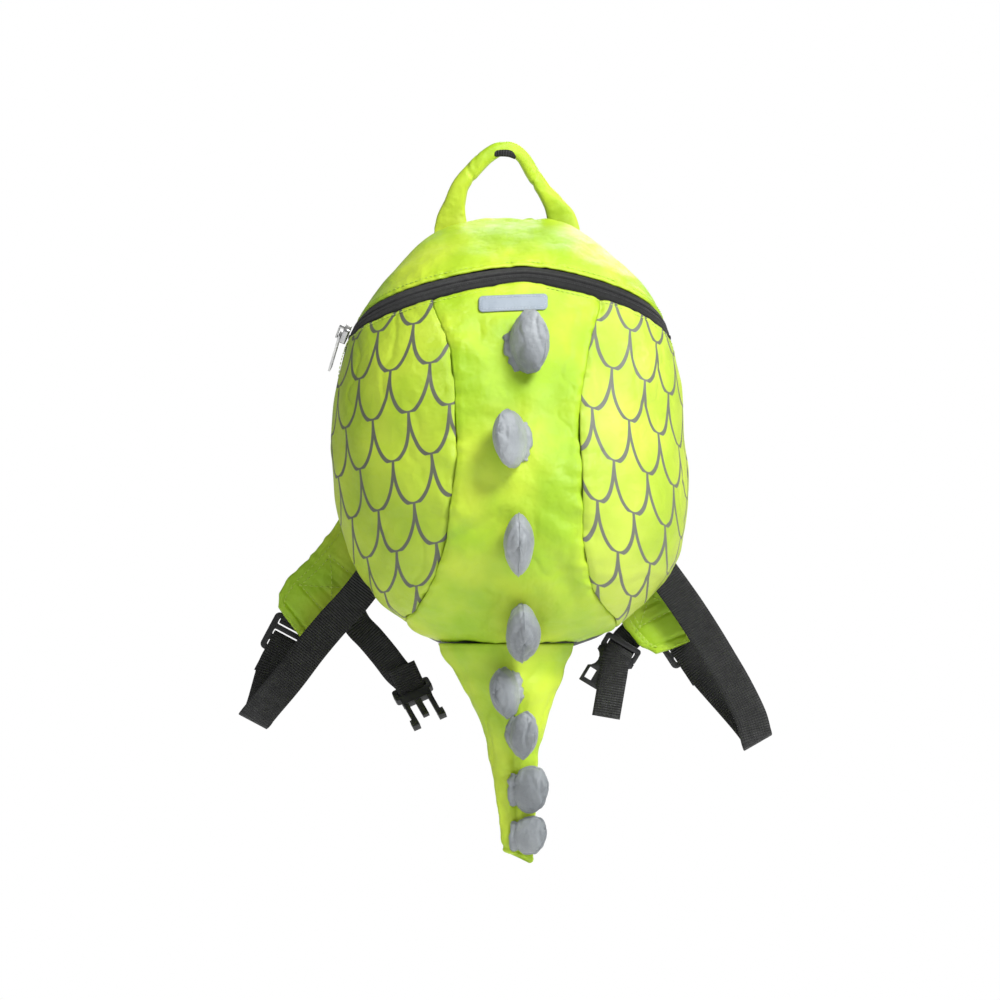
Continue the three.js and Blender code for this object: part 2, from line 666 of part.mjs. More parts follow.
// A seam's turn at a level, moved sideways by half the seam's gap, measured square to the seam.
const seamSide = (seam, sign, way) => (down) => {
  const step = 0.004;
  const turn = sign * Math.min(seam(down), rimTurn);
  const { byTurn, byDown } = skinFrame(turn, down);
  const slope = (sign * (seam(down + step) - seam(down - step))) / (2 * step);
  const area = byTurn.clone().cross(byDown).length();
  const along = byDown.addScaledVector(byTurn, slope).length();
  return turn + (way * seamGap * along) / (2 * area);
};
const centreEdges = [seamSide(seamLeft, -1, 1), seamSide(seamRight, 1, -1)];

const centrePlaces = hangingPanel(...centreEdges, 9, 2);
const sidePlaces = {
  left: hangingPanel(() => -rimTurn, seamSide(seamLeft, -1, -1), 12),
  right: hangingPanel(seamSide(seamRight, 1, 1), () => rimTurn, 12),
};

// The rim: the back panel's edge, which the domed front is sewn to. Above the level where the zip's hem
// crosses the silhouette it draws in towards that level's middle, below it only sideways.
const shoulderDown = lookUp(upperHem, "turn", "down", quarterTurn);
const shoulderMiddle = plainSkin(0, shoulderDown);

// The silhouette above the shoulder as points in the front view, from the left over the top to the right.
function crownLine() {
  const steps = 26;
  const bend = 1.8; // packs the points towards the top
  const side = (sign) =>
    range(steps).map((i) => {
      const down = shoulderDown * Math.pow(i / (steps - 1), bend);
      const p = plainSkin(sign * quarterTurn, down);
      return V(p.x, 0, p.z);
    });
  return [...side(-1).reverse(), ...side(1)];
}

// Points spread evenly along a line of points.
function resampled(points, count) {
  const lengths = [0];
  for (const i of range(points.length - 1)) lengths.push(lengths[i] + points[i].distanceTo(points[i + 1]));
  const total = lengths[lengths.length - 1];
  return range(count).map((k) => {
    const wanted = (total * k) / (count - 1);
    const i = Math.max(lengths.findIndex((l) => l >= wanted - 1e-9), 1);
    return points[i - 1].clone().lerp(points[i], (wanted - lengths[i - 1]) / (lengths[i] - lengths[i - 1] || 1));
  });
}

// The place on the skin's front that shows at a point of the front view.
function placeShown(x, z) {
  const down = Math.max((-topDrop - z) / bodyHeight, 0);
  const share = (x - bodyCentre - leanAt(down) * bodyHalfWidth) / (halfAt(down) * bodyHalfWidth);
  const turn = (Math.asin(Math.min(Math.max(share, -1), 1)) / (Math.PI / 2)) * quarterTurn;
  return [turn, down];
}

// One column of the top panel: from the rim round the silhouette and down the front to the zip's upper hem.
function crownColumn(edge, turn, rows) {
  const tuckDepth = tuckDepthShare * deepAt((-topDrop - edge.z) / bodyHeight) * bodyDepth;
  const points = range(8).map((i) => {
    const behind = 1 - i / 8;
    const drawn = 1 - tuckIn * behind * behind;
    const x = lerp(shoulderMiddle.x, edge.x, drawn);
    return V(x, seatY - tuckDepth * (1 - behind), lerp(shoulderMiddle.z, edge.z, drawn));
  });
  const hem = plainSkin(turn, lookUp(upperHem, "turn", "down", turn));
  for (const i of range(25)) {
    const share = 1 - Math.cos(((i / 24) * Math.PI) / 2);
    const [t, d] = placeShown(lerp(edge.x, hem.x, share), lerp(edge.z, hem.z, share));
    points.push(plainSkin(t, d));
  }
  return resampled(points, rows);
}

// One column of the top panel below the shoulder: level, from the rim to the hem behind the silhouette.
function flankColumn(sign, down, rows) {
  const behind = upperHem.filter((s) => s.turn * sign > quarterTurn - 0.05);
  if (sign < 0) behind.reverse();
  const hem = lookUp(behind, "down", "turn", down);
  return range(rows).map((i) => plainSkin(lerp(sign * rimTurn, hem, i / (rows - 1)), down));
}

function topPanelGrid(rows, crownCols, flankCols) {
  const crown = resampled(crownLine(), crownCols);
  const flank = (sign) => {
    const end = lookUp(upperHem, "turn", "down", sign * rimTurn) - 0.012;
    return range(flankCols).map((i) => flankColumn(sign, lerp(end, shoulderDown, i / flankCols), rows));
  };
  const over = crown.map((edge, i) =>
    crownColumn(edge, lerp(-quarterTurn, quarterTurn, i / (crownCols - 1)), rows),
  );
  return [...flank(-1), ...over, ...flank(1).reverse()];
}

// A grid of points moved along its own normals, which point away from a middle.
function shifted(grid, distance, middle) {
  const rows = grid.length;
  const cols = grid[0].length;
  return grid.map((row, i) =>
    row.map((p, j) => {
      const a = grid[Math.min(i + 1, rows - 1)][j].clone().sub(grid[Math.max(i - 1, 0)][j]);
      const b = row[Math.min(j + 1, cols - 1)].clone().sub(row[Math.max(j - 1, 0)]);
      const normal = a.cross(b).normalize();
      if (normal.dot(p.clone().sub(middle)) < 0) normal.negate();
      return p.clone().addScaledVector(normal, distance);
    }),
  );
}

function topPanel() {
  const grid = topPanelGrid(9, 25, 4);
  const middle = plainSkin(0, 0.4).setY(-bodyDepth / 3);
  return wallBetween(grid, shifted(grid, -clothWall, middle));
}

// The back panel's outline, the same line as the rim, as points in the front view.
function rimLine() {
  const drawn = 1 - tuckIn;
  const crown = resampled(crownLine(), 25).map((p) =>
    V(lerp(shoulderMiddle.x, p.x, drawn), 0, lerp(shoulderMiddle.z, p.z, drawn)),
  );
  const levels = range(16).map((i) => lerp(shoulderDown, 1, (i + 1) / 16));
  const flank = (sign) => levels.map((down) => plainSkin(sign, down).setY(0));
  return [...crown, ...flank(1), ...flank(-1).reverse()];
}

// The padded back panel: its outline at several depths, drawn in towards its middle.
function backPanel() {
  const outline = rimLine();
  const middle = V(bodyCentre, 0, -topDrop - bodyHeight * 0.52);
  const pillow = [
    { depth: -1, size: 0.995 },
    { depth: -0.5, size: 1 },
    { depth: 0.45, size: 1 },
    { depth: 0.9, size: 0.97 },
    { depth: 1, size: 0.93 },
    { depth: 1, size: 0.45 },
  ];
  return loft(
    pillow.map(({ depth, size }) =>
      outline.map((p) => middle.clone().lerp(p, size).setY(depth * backFace)),
    ),
  );
}

// The tail

const tailHalf = column(tailRows, "half");
const tailLean = column(tailRows, "lean");
const tailFront = column(tailRows, "front");
const tailBack = column(tailRows, "back");
const tailTop = -topDrop - bodyHeight - seamGap;
const tailRidge = 1.25; // a low ridge down its front seam
const tailWaist = 0.45; // where its side seams lie between front and back

// The tail's skin at a share of its length and a turn round it (0 at the front ridge), lifted outwards.
function tailSkin(share, turn, lift = 0) {
  const front = -tailFront(share) * tailDepth - lift;
  const back = -tailBack(share) * tailDepth + lift;
  const waist = lerp(front, back, tailWaist);
  const c = Math.cos(turn);
  const s = Math.sin(turn);
  const half = tailHalf(share) * tailHalfWidth + lift;
  const y = c > 0 ? lerp(waist, front, Math.pow(c, tailRidge)) : lerp(waist, back, Math.pow(-c, 0.7));
  const slant = (share * share * s * tailTipSlant) / 2;
  return V(bodyCentre + tailLean(share) * tailHalfWidth + half * s, seatY + y, tailTop - share * tailLength - slant);
}

const tailSides = 20;
function tailRings(lift, rise) {
  return range(15).map((i) => {
    const ring = range(tailSides).map((k) => tailSkin(i / 14, (k * 2 * Math.PI) / tailSides, lift));
    if (!i) ring.forEach((p) => (p.z += rise));
    return ring;
  });
}

// The fins

// What the fins are cut by: the skin of the centre panel and the tail, lifted by the clearance.
const finSink = 7;
const centreCore = solidOf(
  wallBetween(
    centrePlaces.map((row) => row.map(([turn, down]) => skin(turn, down, clearance))),
    centrePlaces.map((row) => row.map(([turn, down]) => skin(turn, down, -2 * finSink))),
  ),
);
const tailCore = solidOf(loft(tailRings(clearance, seamGap + clearance)));

function finFrame(place) {
  if (place.on === "bag") {
    const { byDown, normal } = skinFrame(place.turn, place.at);
    return { p: skin(place.turn, place.at), along: byDown.normalize(), normal };
  }
  const step = 0.02;
  const p = tailSkin(place.at, place.side);
  const along = tailSkin(place.at + step, place.side).sub(tailSkin(place.at - step, place.side)).normalize();
  const across = V(1, 0, 0);
  return { p, along, normal: along.clone().cross(across).normalize() };
}

function fin(place) {
  const { p, along, normal } = finFrame(place);
  if (normal.y > 0) normal.negate();
  const length = along.clone().applyAxisAngle(normal, place.tilt * degree);
  const out = normal.clone().applyAxisAngle(length, -place.lean * degree);
  const thick = length.clone().cross(out);
  const sides = 12;
  const ring = (row, height) =>
    range(sides).map((k) => {
      const a = ((k + 0.5) * 2 * Math.PI) / sides;
      return p
        .clone()
        .addScaledVector(out, height)
        .addScaledVector(length, (Math.cos(a) * row.long * place.long * finLength) / 2 - row.sweep * finLength)
        .addScaledVector(thick, (Math.sin(a) * row.thick * place.thick * finThickness) / 2);
    });
  const rings = finRows.map((row) => ring(row, row.at * place.high * finHeight));
  const whole = solidOf(loft([ring(finRows[0], -finSink), ...rings]));
  return geometryOf(whole.subtract(centreCore).subtract(tailCore));
}

// The label, on the skin of the centre panel just under the zip

const labelDrop = 53.1; // from the top of the bag to its middle
const labelShift = 3; // to the right of the origin
const labelSlant = 2.2; // degrees, rising to the right

function label() {
  const places = range(3).map((i) =>
    range(9).map((j) => {
      const x = (j / 8 - 0.5) * labelWidth;
      const z = (0.5 - i / 2) * labelHeight + x * Math.tan(labelSlant * degree);
      return placeShown(labelShift + x, -topDrop - labelDrop + z);
    }),
  );
  return panelWall(places, 1.5 * clearance + labelThickness, labelThickness);
}

// The handle and the pads

// Rows of { p, wide, thick } with the direction of their width added: square to the line, in the front view.
function withCross(rows) {
  const last = rows.length - 1;
  return rows.map((row, i) => {
    const way = rows[Math.min(i + 1, last)].p.clone().sub(rows[Math.max(i - 1, 0)].p);
    return { ...row, cross: V(-way.z, 0, way.x).normalize() };
  });
}

function grabHandle() {
  const legThickness = handleRows[0].thick * handleThickness;
  const legsBack = backFace + clearance + legThickness / 2;
  const lapDrop = topDrop + tuckIn * (-topDrop - shoulderMiddle.z) + handleLap;
  const lowest = -handleRows[0].up * handleSpan;
  const rows = handleRows.map((row) => {
    const share = Math.max(0, row.up / handleRows[0].up);
    const stretch = 1 + (lapDrop / lowest - 1) * share * share;
    const p = V(row.side * handleSpan, row.back * legsBack, row.up * handleSpan * stretch);
    return { p, wide: row.wide * handleWidth, thick: row.thick * handleThickness };
  });
  return band(stationsThrough(withCross(rows), 31), 8);
}

const padBase = backFace + clearance;

function padLine(side) {
  const sign = side === "left" ? -1 : 1;
  const rows = padRows[side].map((row) => ({
    p: V(
      bodyCentre + sign * (padTopSide + row.out * padReach),
      padBase + (row.thick * padThickness) / 2 + row.off * padStandOff,
      -topDrop - padTopDrop - row.down * padDrop,
    ),
    wide: row.wide * padWidth,
    thick: row.thick * padThickness,
  }));
  return withCross(rows);
}

// The webbing loops, their ladder locks and the tabs that hold the locks to the pads

const strapReach = webbingThickness / 2 + clearance; // from a face to the middle of a strap that lies on it
const lockReach = lockThickness / 2 + strapReach;
const lockLength = 4 * lockBar + 3 * lockSlot;
const barStep = lockBar + lockSlot;

const frontCross = (angle) => V(Math.cos(angle * degree), 0, Math.sin(angle * degree));

function loopStart(side) {
  const sign = side === "left" ? -1 : 1;
  return plainSkin(sign, loopAt[side]).setY(backFace + strapReach);
}

// The lock's own frame: X along its bars, Y from the pad towards the webbing, Z towards the wearer.
function lockPlace(side) {
  const sign = side === "left" ? -1 : 1;
  const place = lockPlaces[side];
  const padBack = Math.max(...padLine(side).slice(-3).map((row) => row.p.y + row.thick / 2));
  const y = padBack + 2 * clearance + webbingThickness + lockThickness / 2;
  const origin = loopStart(side).add(V(sign * place.out * loopDrop, 0, -place.down * loopDrop)).setY(y);
  const cross = frontCross(place.slant);
  return placeAt(origin, cross, V(cross.z, 0, -cross.x));
}

// Points of a strap in a lock's frame: along its front face, round through a slot and back along its rear
// face. way is 1 where the strap comes from the webbing's end of the lock and -1 from the pad's.
function hairpin(matrix, way, slotY, endFront, endBack, cross) {
  const bend = 1.5;
  const inner = slotY - clearance;
  const flat = [
    [endFront, -lockReach - 2 * clearance],
    [(endFront + inner) / 2, -lockReach - clearance],
    [inner + 2 * bend, -lockReach],
    [inner + bend, -lockReach],
    [inner + bend * 0.25, -lockReach + bend * 0.25],
    [inner, -lockReach + bend],
    [inner, lockReach - bend],
    [inner + bend * 0.25, lockReach - bend * 0.25],
    [inner + bend, lockReach],
    [inner + 2 * bend, lockReach],
    [endBack, lockReach],
  ];
  return flat.map(([y, z]) => ({ p: V(0, way * y, z).applyMatrix4(matrix), cross }));
}

const strapBand = (rows, wide, count) =>
  band(stationsThrough(rows.map((row) => ({ wide, thick: webbingThickness, ...row })), count));

function webbingLoop(side) {
  const sign = side === "left" ? -1 : 1;
  const start = loopStart(side);
  const route = loopRows[side].map((row) => ({
    p: start.clone().add(V(sign * row.out * loopDrop, 0, -row.down * loopDrop)),
    cross: frontCross(row.cross),
  }));
  const into = route[0].p.clone().sub(route[1].p).normalize();
  const sewn = { p: route[0].p.clone().addScaledVector(into, webbingLap), cross: route[0].cross };
  const fold = route.pop();
  const down = fold.p.clone().sub(route.at(-1).p).normalize();
  const middle = fold.p.clone().addScaledVector(down, -loopFoldRadius).add(V(0, loopFoldRadius, 0));
  const turned = range(5).map((i) => {
    const a = (i * Math.PI) / 4;
    const p = middle.clone().addScaledVector(down, Math.sin(a) * loopFoldRadius);
    return { p: p.add(V(0, -Math.cos(a) * loopFoldRadius, 0)), cross: fold.cross };
  });
  const cross = frontCross(lockPlaces[side].slant);
  const threaded = hairpin(lockPlace(side), 1, 0, lockLength / 2 + 6, lockLength / 2 + 14, cross);
  return strapBand([sewn, ...route, ...turned, ...threaded], webbingWidth, 64);
}

function ladderLock(side) {
  const shape = roundedRectangle(lockWidth, lockLength, lockBar);
  for (const i of [-1, 0, 1]) {
    const slotWidth = webbingWidth + 4 * clearance;
    shape.holes.push(roundedRectangle(slotWidth, lockSlot, lockSlot / 4, i * barStep, THREE.Path));
  }
  return plate(shape, lockThickness).applyMatrix4(lockPlace(side));
}

function lockTab(side) {
  const cross = frontCross(lockPlaces[side].slant);
  const rows = hairpin(lockPlace(side), -1, barStep, lockLength / 2 + 2, lockLength / 2 + 11, cross);
  return strapBand(rows, webbingWidth, 24);
}

// The chest strap and its buckle

// The rear face of a pad at a point of the front view.
function padFace(side, x, z) {
  const squared = (s) => (s.p.x - x) ** 2 + (s.p.z - z) ** 2;
  const near = stationsThrough(padLine(side), 90).reduce((a, b) => (squared(b) < squared(a) ? b : a));
  return near.p.y + near.thick / 2;
}

// The buckle half's own frame: X along its bar, Y towards its free end, its origin in the strap's slot.
function bucklePlace(side) {
  const { out, down, off, lengthWay, widthWay } = bucklePlaces[side];
  const y = padBase + padThickness + off * padStandOff;
  const origin = V(bodyCentre + out * bodyHalfWidth, y, -topDrop - down * bodyHeight);
  return placeAt(origin, V(...widthWay), V(...lengthWay));
}

// The rows that lie on the pad take their distance from its rear face under the strap's whole width.
function chestRoute(side) {
  return chestRows[side].map((row) => {
    const cross = frontCross(row.cross);
    const p = V(bodyCentre + row.out * bodyHalfWidth, 0, -topDrop - row.down * bodyHeight);
    const onPad = [-0.5, 0, 0.5].map((share) => {
      const edge = p.clone().addScaledVector(cross, share * chestWidth);
      return padFace(side, edge.x, edge.z);
    });
    const under = row.off === "pad" ? Math.max(...onPad) : padBase + padThickness + row.off * padStandOff;
    return { p: p.setY(under + strapReach), cross };
  });
}

function slottedPlate(thickness) {
  const shape = roundedRectangle(buckleWidth, buckleSlot + 2 * buckleBar, 2);
  shape.holes.push(roundedRectangle(chestWidth + 4 * clearance, buckleSlot, buckleSlot / 4, 0, THREE.Path));
  return plate(shape, thickness);
}

const maleThickness = 4;
const plateEnd = buckleSlot / 2 + buckleBar;

function buckleMale() {
  const overlap = 0.5;
  const bridge = 5;
  const armWidth = 3;
  const armOut = buckleWidth / 2 - buckleWall - clearance - armWidth / 2 - 1;
  const pieces = [
    slottedPlate(maleThickness),
    block(buckleWidth - 5, bridge + overlap, maleThickness, 0, plateEnd + (bridge - overlap) / 2, 0),
    block(4, prongLength * 0.7, 2.4, 0, plateEnd + bridge + prongLength * 0.35 - overlap, 0),
  ];
  for (const sign of [-1, 1]) {
    const armY = plateEnd + bridge + prongLength / 2 - overlap;
    const headY = plateEnd + bridge + prongLength - 3 - overlap;
    pieces.push(block(armWidth, prongLength, 3, sign * armOut, armY, 0));
    pieces.push(block(armWidth + 1.6, 6, 4, sign * (armOut + 0.8), headY, 0));
  }
  return joined(pieces).applyMatrix4(bucklePlace("left"));
}

function buckleFemale() {
  const mouth = plateEnd + socketLength;
  const middle = plateEnd + socketLength / 2;
  const shell = joined([
    slottedPlate(3),
    block(buckleWidth, socketLength + 0.5, buckleThickness, 0, middle - 0.25, 0),
  ]);
  let solid = solidOf(shell);
  const socketWidth = buckleWidth - 2 * buckleWall;
  const socketHeight = buckleThickness - 2 * buckleWall;
  const socket = block(socketWidth, socketLength, socketHeight, 0, mouth - socketLength / 2 + 3, 0);
  solid = solid.subtract(solidOf(socket));
  const cutDepth = 2 * buckleThickness;
  for (const sign of [-1, 1]) {
    const waist = new THREE.CylinderGeometry(6, 6, cutDepth, 16).rotateX(Math.PI / 2);
    const windowX = sign * (buckleWidth / 2 - 4.2);
    solid = solid.subtract(solidOf(waist.translate(sign * (buckleWidth / 2 + 2.2), middle - 4, 0)));
    solid = solid.subtract(solidOf(block(4.5, 7, cutDepth, windowX, mouth - 6.5, 0)));
  }
  return geometryOf(solid).applyMatrix4(bucklePlace("right"));
}

// The left half is sewn back on itself round the bar; the right half goes through the slot and hangs free.
function chestStrapLeft() {
  const route = chestRoute("left");
  const place = bucklePlace("left");
  const bar = V(0, -(buckleSlot + buckleBar) / 2, 0).applyMatrix4(place);
  const axis = V(1, 0, 0).transformDirection(place);
  const back = route.at(-1).p.clone().sub(bar);
  back.addScaledVector(axis, -back.dot(axis)).normalize();
  const side = axis.clone().cross(back);
  if (side.y < 0) side.negate();
  const reach = Math.hypot(buckleBar, maleThickness) / 2 + 1.5 * clearance + webbingThickness / 2;
  const at = (a, along) =>
    bar.clone().addScaledVector(side, Math.cos(a) * reach).addScaledVector(back, along - Math.sin(a) * reach);
  const turned = range(7).map((i) => ({ p: at((i * Math.PI) / 6, 0), cross: axis }));
  const lap = { p: at(Math.PI, 14), cross: axis };
  const lead = { p: at(0, 5), cross: axis };
  return strapBand([...route, lead, ...turned, { p: at(Math.PI, 5), cross: axis }, lap], chestWidth, 44);
}

function chestStrapRight() {
  const route = chestRoute("right");
  const place = bucklePlace("right");
  const axis = V(1, 0, 0).transformDirection(place);
  const front = -buckleThickness / 2 - strapReach - clearance / 2;
  const through = [[-5, 3.1], [-1.6, 2.7], [-0.1, 1.2], [-0.1, -1.2], [1, -3.6], [5, front]].map(([y, z]) => ({
    p: V(0, y, z).applyMatrix4(place),
    cross: axis,
  }));
  const from = through.at(-1).p;
  const hang = [
    { share: 0.3, cross: -24 },
    { share: 0.6, cross: -19 },
    { share: 0.8, cross: -20 },
    { share: 1, cross: -23 },
  ].map(({ share, cross }) => ({
    p: from.clone().add(V(-0.17 * share * freeEndLength, 0, -0.985 * share * freeEndLength)),
    cross: frontCross(cross),
  }));
  return strapBand([...route, ...through, ...hang], chestWidth, 44);
}

// The rein tab: a doubled strap that hangs from the back panel behind the tail
function reinTab() {
  const slant = 26;
  const cross = frontCross(-slant);
  const way = V(Math.sin(slant * degree), 0, -Math.cos(slant * degree));
  const start = V(bodyCentre - 0.32 * bodyHalfWidth, backFace + strapReach, -topDrop - bodyHeight + 9);
  const bend = 1.3;
  const at = (down, back) => start.clone().addScaledVector(way, down).add(V(0, back, 0));
  const turned = range(5).map((i) => {
    const a = (i * Math.PI) / 4;
    return at(reinTabDrop + bend * Math.sin(a), bend * (1 - Math.cos(a)));
  });
  const points = [at(0, 0), at(reinTabDrop * 0.5, 0), ...turned, at(reinTabDrop * 0.5, 2 * bend), at(6, 2 * bend)];
  return strapBand(points.map((p) => ({ p, cross })), reinTabWidth, 24);
}

// The zip's slider and puller

const sliderTurn = -0.745;
const sliderLift = 0.7;

// The slider's own frame: X across the zip, Y down along it, Z away from the bag.
function sliderPlace() {
  const { down, along, normal } = zipFrame(sliderTurn);
  const way = along.negate();
  return placeAt(skin(sliderTurn, down, sliderLift), way.clone().cross(normal), way);
}

function zipSlider() {
  const archTop = sliderHeight + archGap + archBar / 2;
  const postHeight = archGap + archBar;
  const pieces = [
    plate(roundedRectangle(sliderWidth, sliderLength, 2.4), sliderHeight).translate(0, 0, sliderHeight / 2),
    block(archWidth, archLength, archBar, 0, 0, archTop),
  ];
  for (const sign of [-1, 1]) {
    const y = (sign * (archLength - archBar)) / 2;
    pieces.push(block(archWidth, archBar, postHeight, 0, y, sliderHeight - 0.3 + postHeight / 2));
  }
  return joined(pieces).applyMatrix4(sliderPlace());
}

// The puller's own frame: its origin is on its hinge, the middle of its end bar, with Y down the puller.
function pullerPlace() {
  const hinge = V(0, archLength / 2 - archBar - 1.7, sliderHeight + archGap / 2);
  return sliderPlace()
    .multiply(new THREE.Matrix4().makeTranslation(hinge))
    .multiply(new THREE.Matrix4().makeRotationX(pullerRest * degree));
}

function zipPuller() {
  const length = pullerLength + pullerBar / 2;
  const shape = roundedRectangle(pullerWidth, length, 0.8, length / 2 - pullerBar / 2);
  const windowWidth = archWidth + 2;
  shape.holes.push(
    roundedRectangle(windowWidth, pullerWindow, 0.6, (pullerBar + pullerWindow) / 2, THREE.Path),
    roundedRectangle(windowWidth - 2, 4, 1.2, pullerLength - 5, THREE.Path),
  );
  return plate(shape, pullerThickness).applyMatrix4(pullerPlace());
}

// The whole backpack

const lime = { color: 0xb4d833, roughness: 0.55, metalness: 0 };
const grey = { color: 0x8f969c, roughness: 0.6, metalness: 0 };
const black = { color: 0x1b1c1e, roughness: 0.7, metalness: 0 };
const darkPlastic = { color: 0x141516, roughness: 0.35, metalness: 0 };
const silver = { color: 0xc8c8c6, roughness: 0.25, metalness: 1 };
const mesh3d = { color: 0x2c2e30, roughness: 0.85, metalness: 0 };
const palegrey = { color: 0xa9b4bd, roughness: 0.5, metalness: 0 };

const backpack = new THREE.Group();
function add(name, geometry, finish) {
  const mesh = new THREE.Mesh(geometry, new THREE.MeshStandardMaterial(finish));
  mesh.name = name;
  backpack.add(mesh);
}

const tapeLift = -clothWall - tapeSink;
const tapeEdge = zipShowing / 2 + zipHem;
add("back_panel", backPanel(), mesh3d);
add("top_panel", topPanel(), lime);
add("centre_panel", panelWall(centrePlaces), lime);
const zipCols = 37;
add("zip_tape_upper", zipStrip([clearance, tapeEdge], tapeLift, tapeThickness, zipCols), black);
add("zip_tape_lower", zipStrip([-tapeEdge, -clearance], tapeLift, tapeThickness, zipCols), black);
const coilLift = tapeLift + 1.7 * clearance + coilThickness;
add("zip_coil", zipStrip([-coilWidth / 2, coilWidth / 2], coilLift, coilThickness, zipCols), black);
add("zip_slider", zipSlider(), silver);
add("zip_puller", zipPuller(), silver);
add("label", label(), palegrey);
add("tail", loft(tailRings(0, 0)), lime);
add("grab_handle", grabHandle(), lime);
add("rein_tab", reinTab(), black);
finPlaces.forEach((place, i) => add("spike_" + (i + 1), fin(place), grey));
for (const side of ["left", "right"]) {
  add("side_panel_" + side, panelWall(sidePlaces[side]), lime);
  add("shoulder_pad_" + side, band(stationsThrough(padLine(side), 19), 10), lime);
  add("webbing_" + side, webbingLoop(side), black);
  add("ladder_lock_" + side, ladderLock(side), darkPlastic);
  add("lock_tab_" + side, lockTab(side), black);
}
add("chest_strap_left", chestStrapLeft(), black);
add("chest_strap_right", chestStrapRight(), black);
add("buckle_male", buckleMale(), darkPlastic);
add("buckle_female", buckleFemale(), darkPlastic);

export default backpack;
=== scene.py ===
import math

import bmesh
import bpy
import numpy as np
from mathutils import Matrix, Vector


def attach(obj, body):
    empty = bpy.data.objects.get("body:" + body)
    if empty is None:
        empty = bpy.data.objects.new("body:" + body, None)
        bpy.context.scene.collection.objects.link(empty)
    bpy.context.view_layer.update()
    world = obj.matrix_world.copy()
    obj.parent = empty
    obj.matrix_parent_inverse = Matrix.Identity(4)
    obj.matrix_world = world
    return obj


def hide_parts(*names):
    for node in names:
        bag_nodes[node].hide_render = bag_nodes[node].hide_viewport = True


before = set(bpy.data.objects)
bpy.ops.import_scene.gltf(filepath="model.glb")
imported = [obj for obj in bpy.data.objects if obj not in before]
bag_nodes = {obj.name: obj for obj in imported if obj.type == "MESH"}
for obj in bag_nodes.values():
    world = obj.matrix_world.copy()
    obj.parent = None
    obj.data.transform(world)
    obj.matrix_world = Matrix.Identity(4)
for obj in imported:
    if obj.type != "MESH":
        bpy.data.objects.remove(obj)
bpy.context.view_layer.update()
scene = bpy.context.scene

# Camera and lights

VIEW_WIDTH = 0.6  # metres across the picture, at the bag's silhouette
CAMERA_DISTANCE = 8
SILHOUETTE_BACK = 0.03
CAMERA_X = -0.0048
CAMERA_Z = -0.2064

camera = bpy.data.objects.new("camera", bpy.data.cameras.new("camera"))
camera.data.sensor_width = 36
camera.data.lens = 36 * CAMERA_DISTANCE / VIEW_WIDTH
camera.data.clip_end = 20
camera.location = (CAMERA_X, -CAMERA_DISTANCE - SILHOUETTE_BACK, CAMERA_Z)
camera.rotation_euler = (math.radians(90), 0, 0)
scene.collection.objects.link(camera)
scene.camera = camera
scene.view_settings.view_transform = "Standard"

world = bpy.data.worlds.new("studio")
scene.world = world
world.use_nodes = True
soft_sky = world.node_tree.nodes["Background"]
soft_sky.inputs["Color"].default_value = (1, 1, 1, 1)
soft_sky.inputs["Strength"].default_value = 0.3
white_sky = world.node_tree.nodes.new("ShaderNodeBackground")
white_sky.inputs["Color"].default_value = (1, 1, 1, 1)
white_sky.inputs["Strength"].default_value = 1.0
sky_choice = world.node_tree.nodes.new("ShaderNodeMixShader")
sky_rays = world.node_tree.nodes.new("ShaderNodeLightPath")
world.node_tree.links.new(sky_rays.outputs["Is Camera Ray"], sky_choice.inputs["Fac"])
world.node_tree.links.new(soft_sky.outputs[0], sky_choice.inputs[1])
world.node_tree.links.new(white_sky.outputs[0], sky_choice.inputs[2])
world.node_tree.links.new(sky_choice.outputs[0], world.node_tree.nodes["World Output"].inputs["Surface"])


def soft_light(name, place, aim, size, power):
    lamp = bpy.data.lights.new(name, "AREA")
    lamp.size = size
    lamp.energy = power
    light = bpy.data.objects.new(name, lamp)
    light.location = place
    light.rotation_euler = (Vector(aim) - Vector(place)).to_track_quat("-Z", "Y").to_euler()
    scene.collection.objects.link(light)


soft_light("key_light", (0.95, -1.2, 1.15), (0, 0, -0.2), 0.6, 62)
soft_light("fill_light", (-1.6, -1.4, 0.1), (0, 0, -0.2), 1.2, 5)
soft_light("back_light", (0.4, 1.7, 0.9), (0, 0, -0.2), 0.9, 16)

# Sizes, in millimetres as in the solids

BODY_HEIGHT = 256
BODY_HALF = 107
BODY_DEPTH = 112
BODY_CENTRE = 1.8
TOP_DROP = 36.3
BACK_FACE = 4
SEAT_Y = -4.3
QUARTER = 0.72
TUCK_DEPTH = 0.28
TUCK_IN = 0.07
ROUNDNESS = 0.87
RIM = 0.999
CLOTH = 1.6
SEAM_GAP = 0.6
SEWN_GAP = 0.08  # the cloth itself meets in the seam
SIDE_END = 0.97
ZIP_DROP, ZIP_SIDE_DROP, ZIP_END_DROP = 34.6, 33.5, 38
ZIP_APEX, ZIP_BOW = 0.05, 1.55
ZIP_SHOWING = 15.6

# share down the bag, half width, lean, depth
BODY_ROWS = [
    (0, 0.168, 0.022, 0.06), (0.008, 0.28, 0.015, 0.11), (0.02, 0.36, 0, 0.2), (0.046, 0.465, -0.018, 0.34),
    (0.102, 0.613, -0.003, 0.55), (0.158, 0.731, 0.003, 0.7), (0.215, 0.826, 0.003, 0.8),
    (0.271, 0.892, -0.006, 0.87), (0.327, 0.933, -0.014, 0.92), (0.44, 0.978, -0.025, 0.98),
    (0.581, 1, -0.006, 1), (0.665, 0.989, 0.003, 0.98), (0.778, 0.938, 0.014, 0.9),
    (0.834, 0.877, 0.016, 0.83),
    (0.877, 0.801, 0.012, 0.76), (0.907, 0.739, 0.012, 0.7), (0.947, 0.616, 0.018, 0.61),
    (0.978, 0.513, 0.01, 0.54), (1, 0.381, -0.006, 0.48),
]
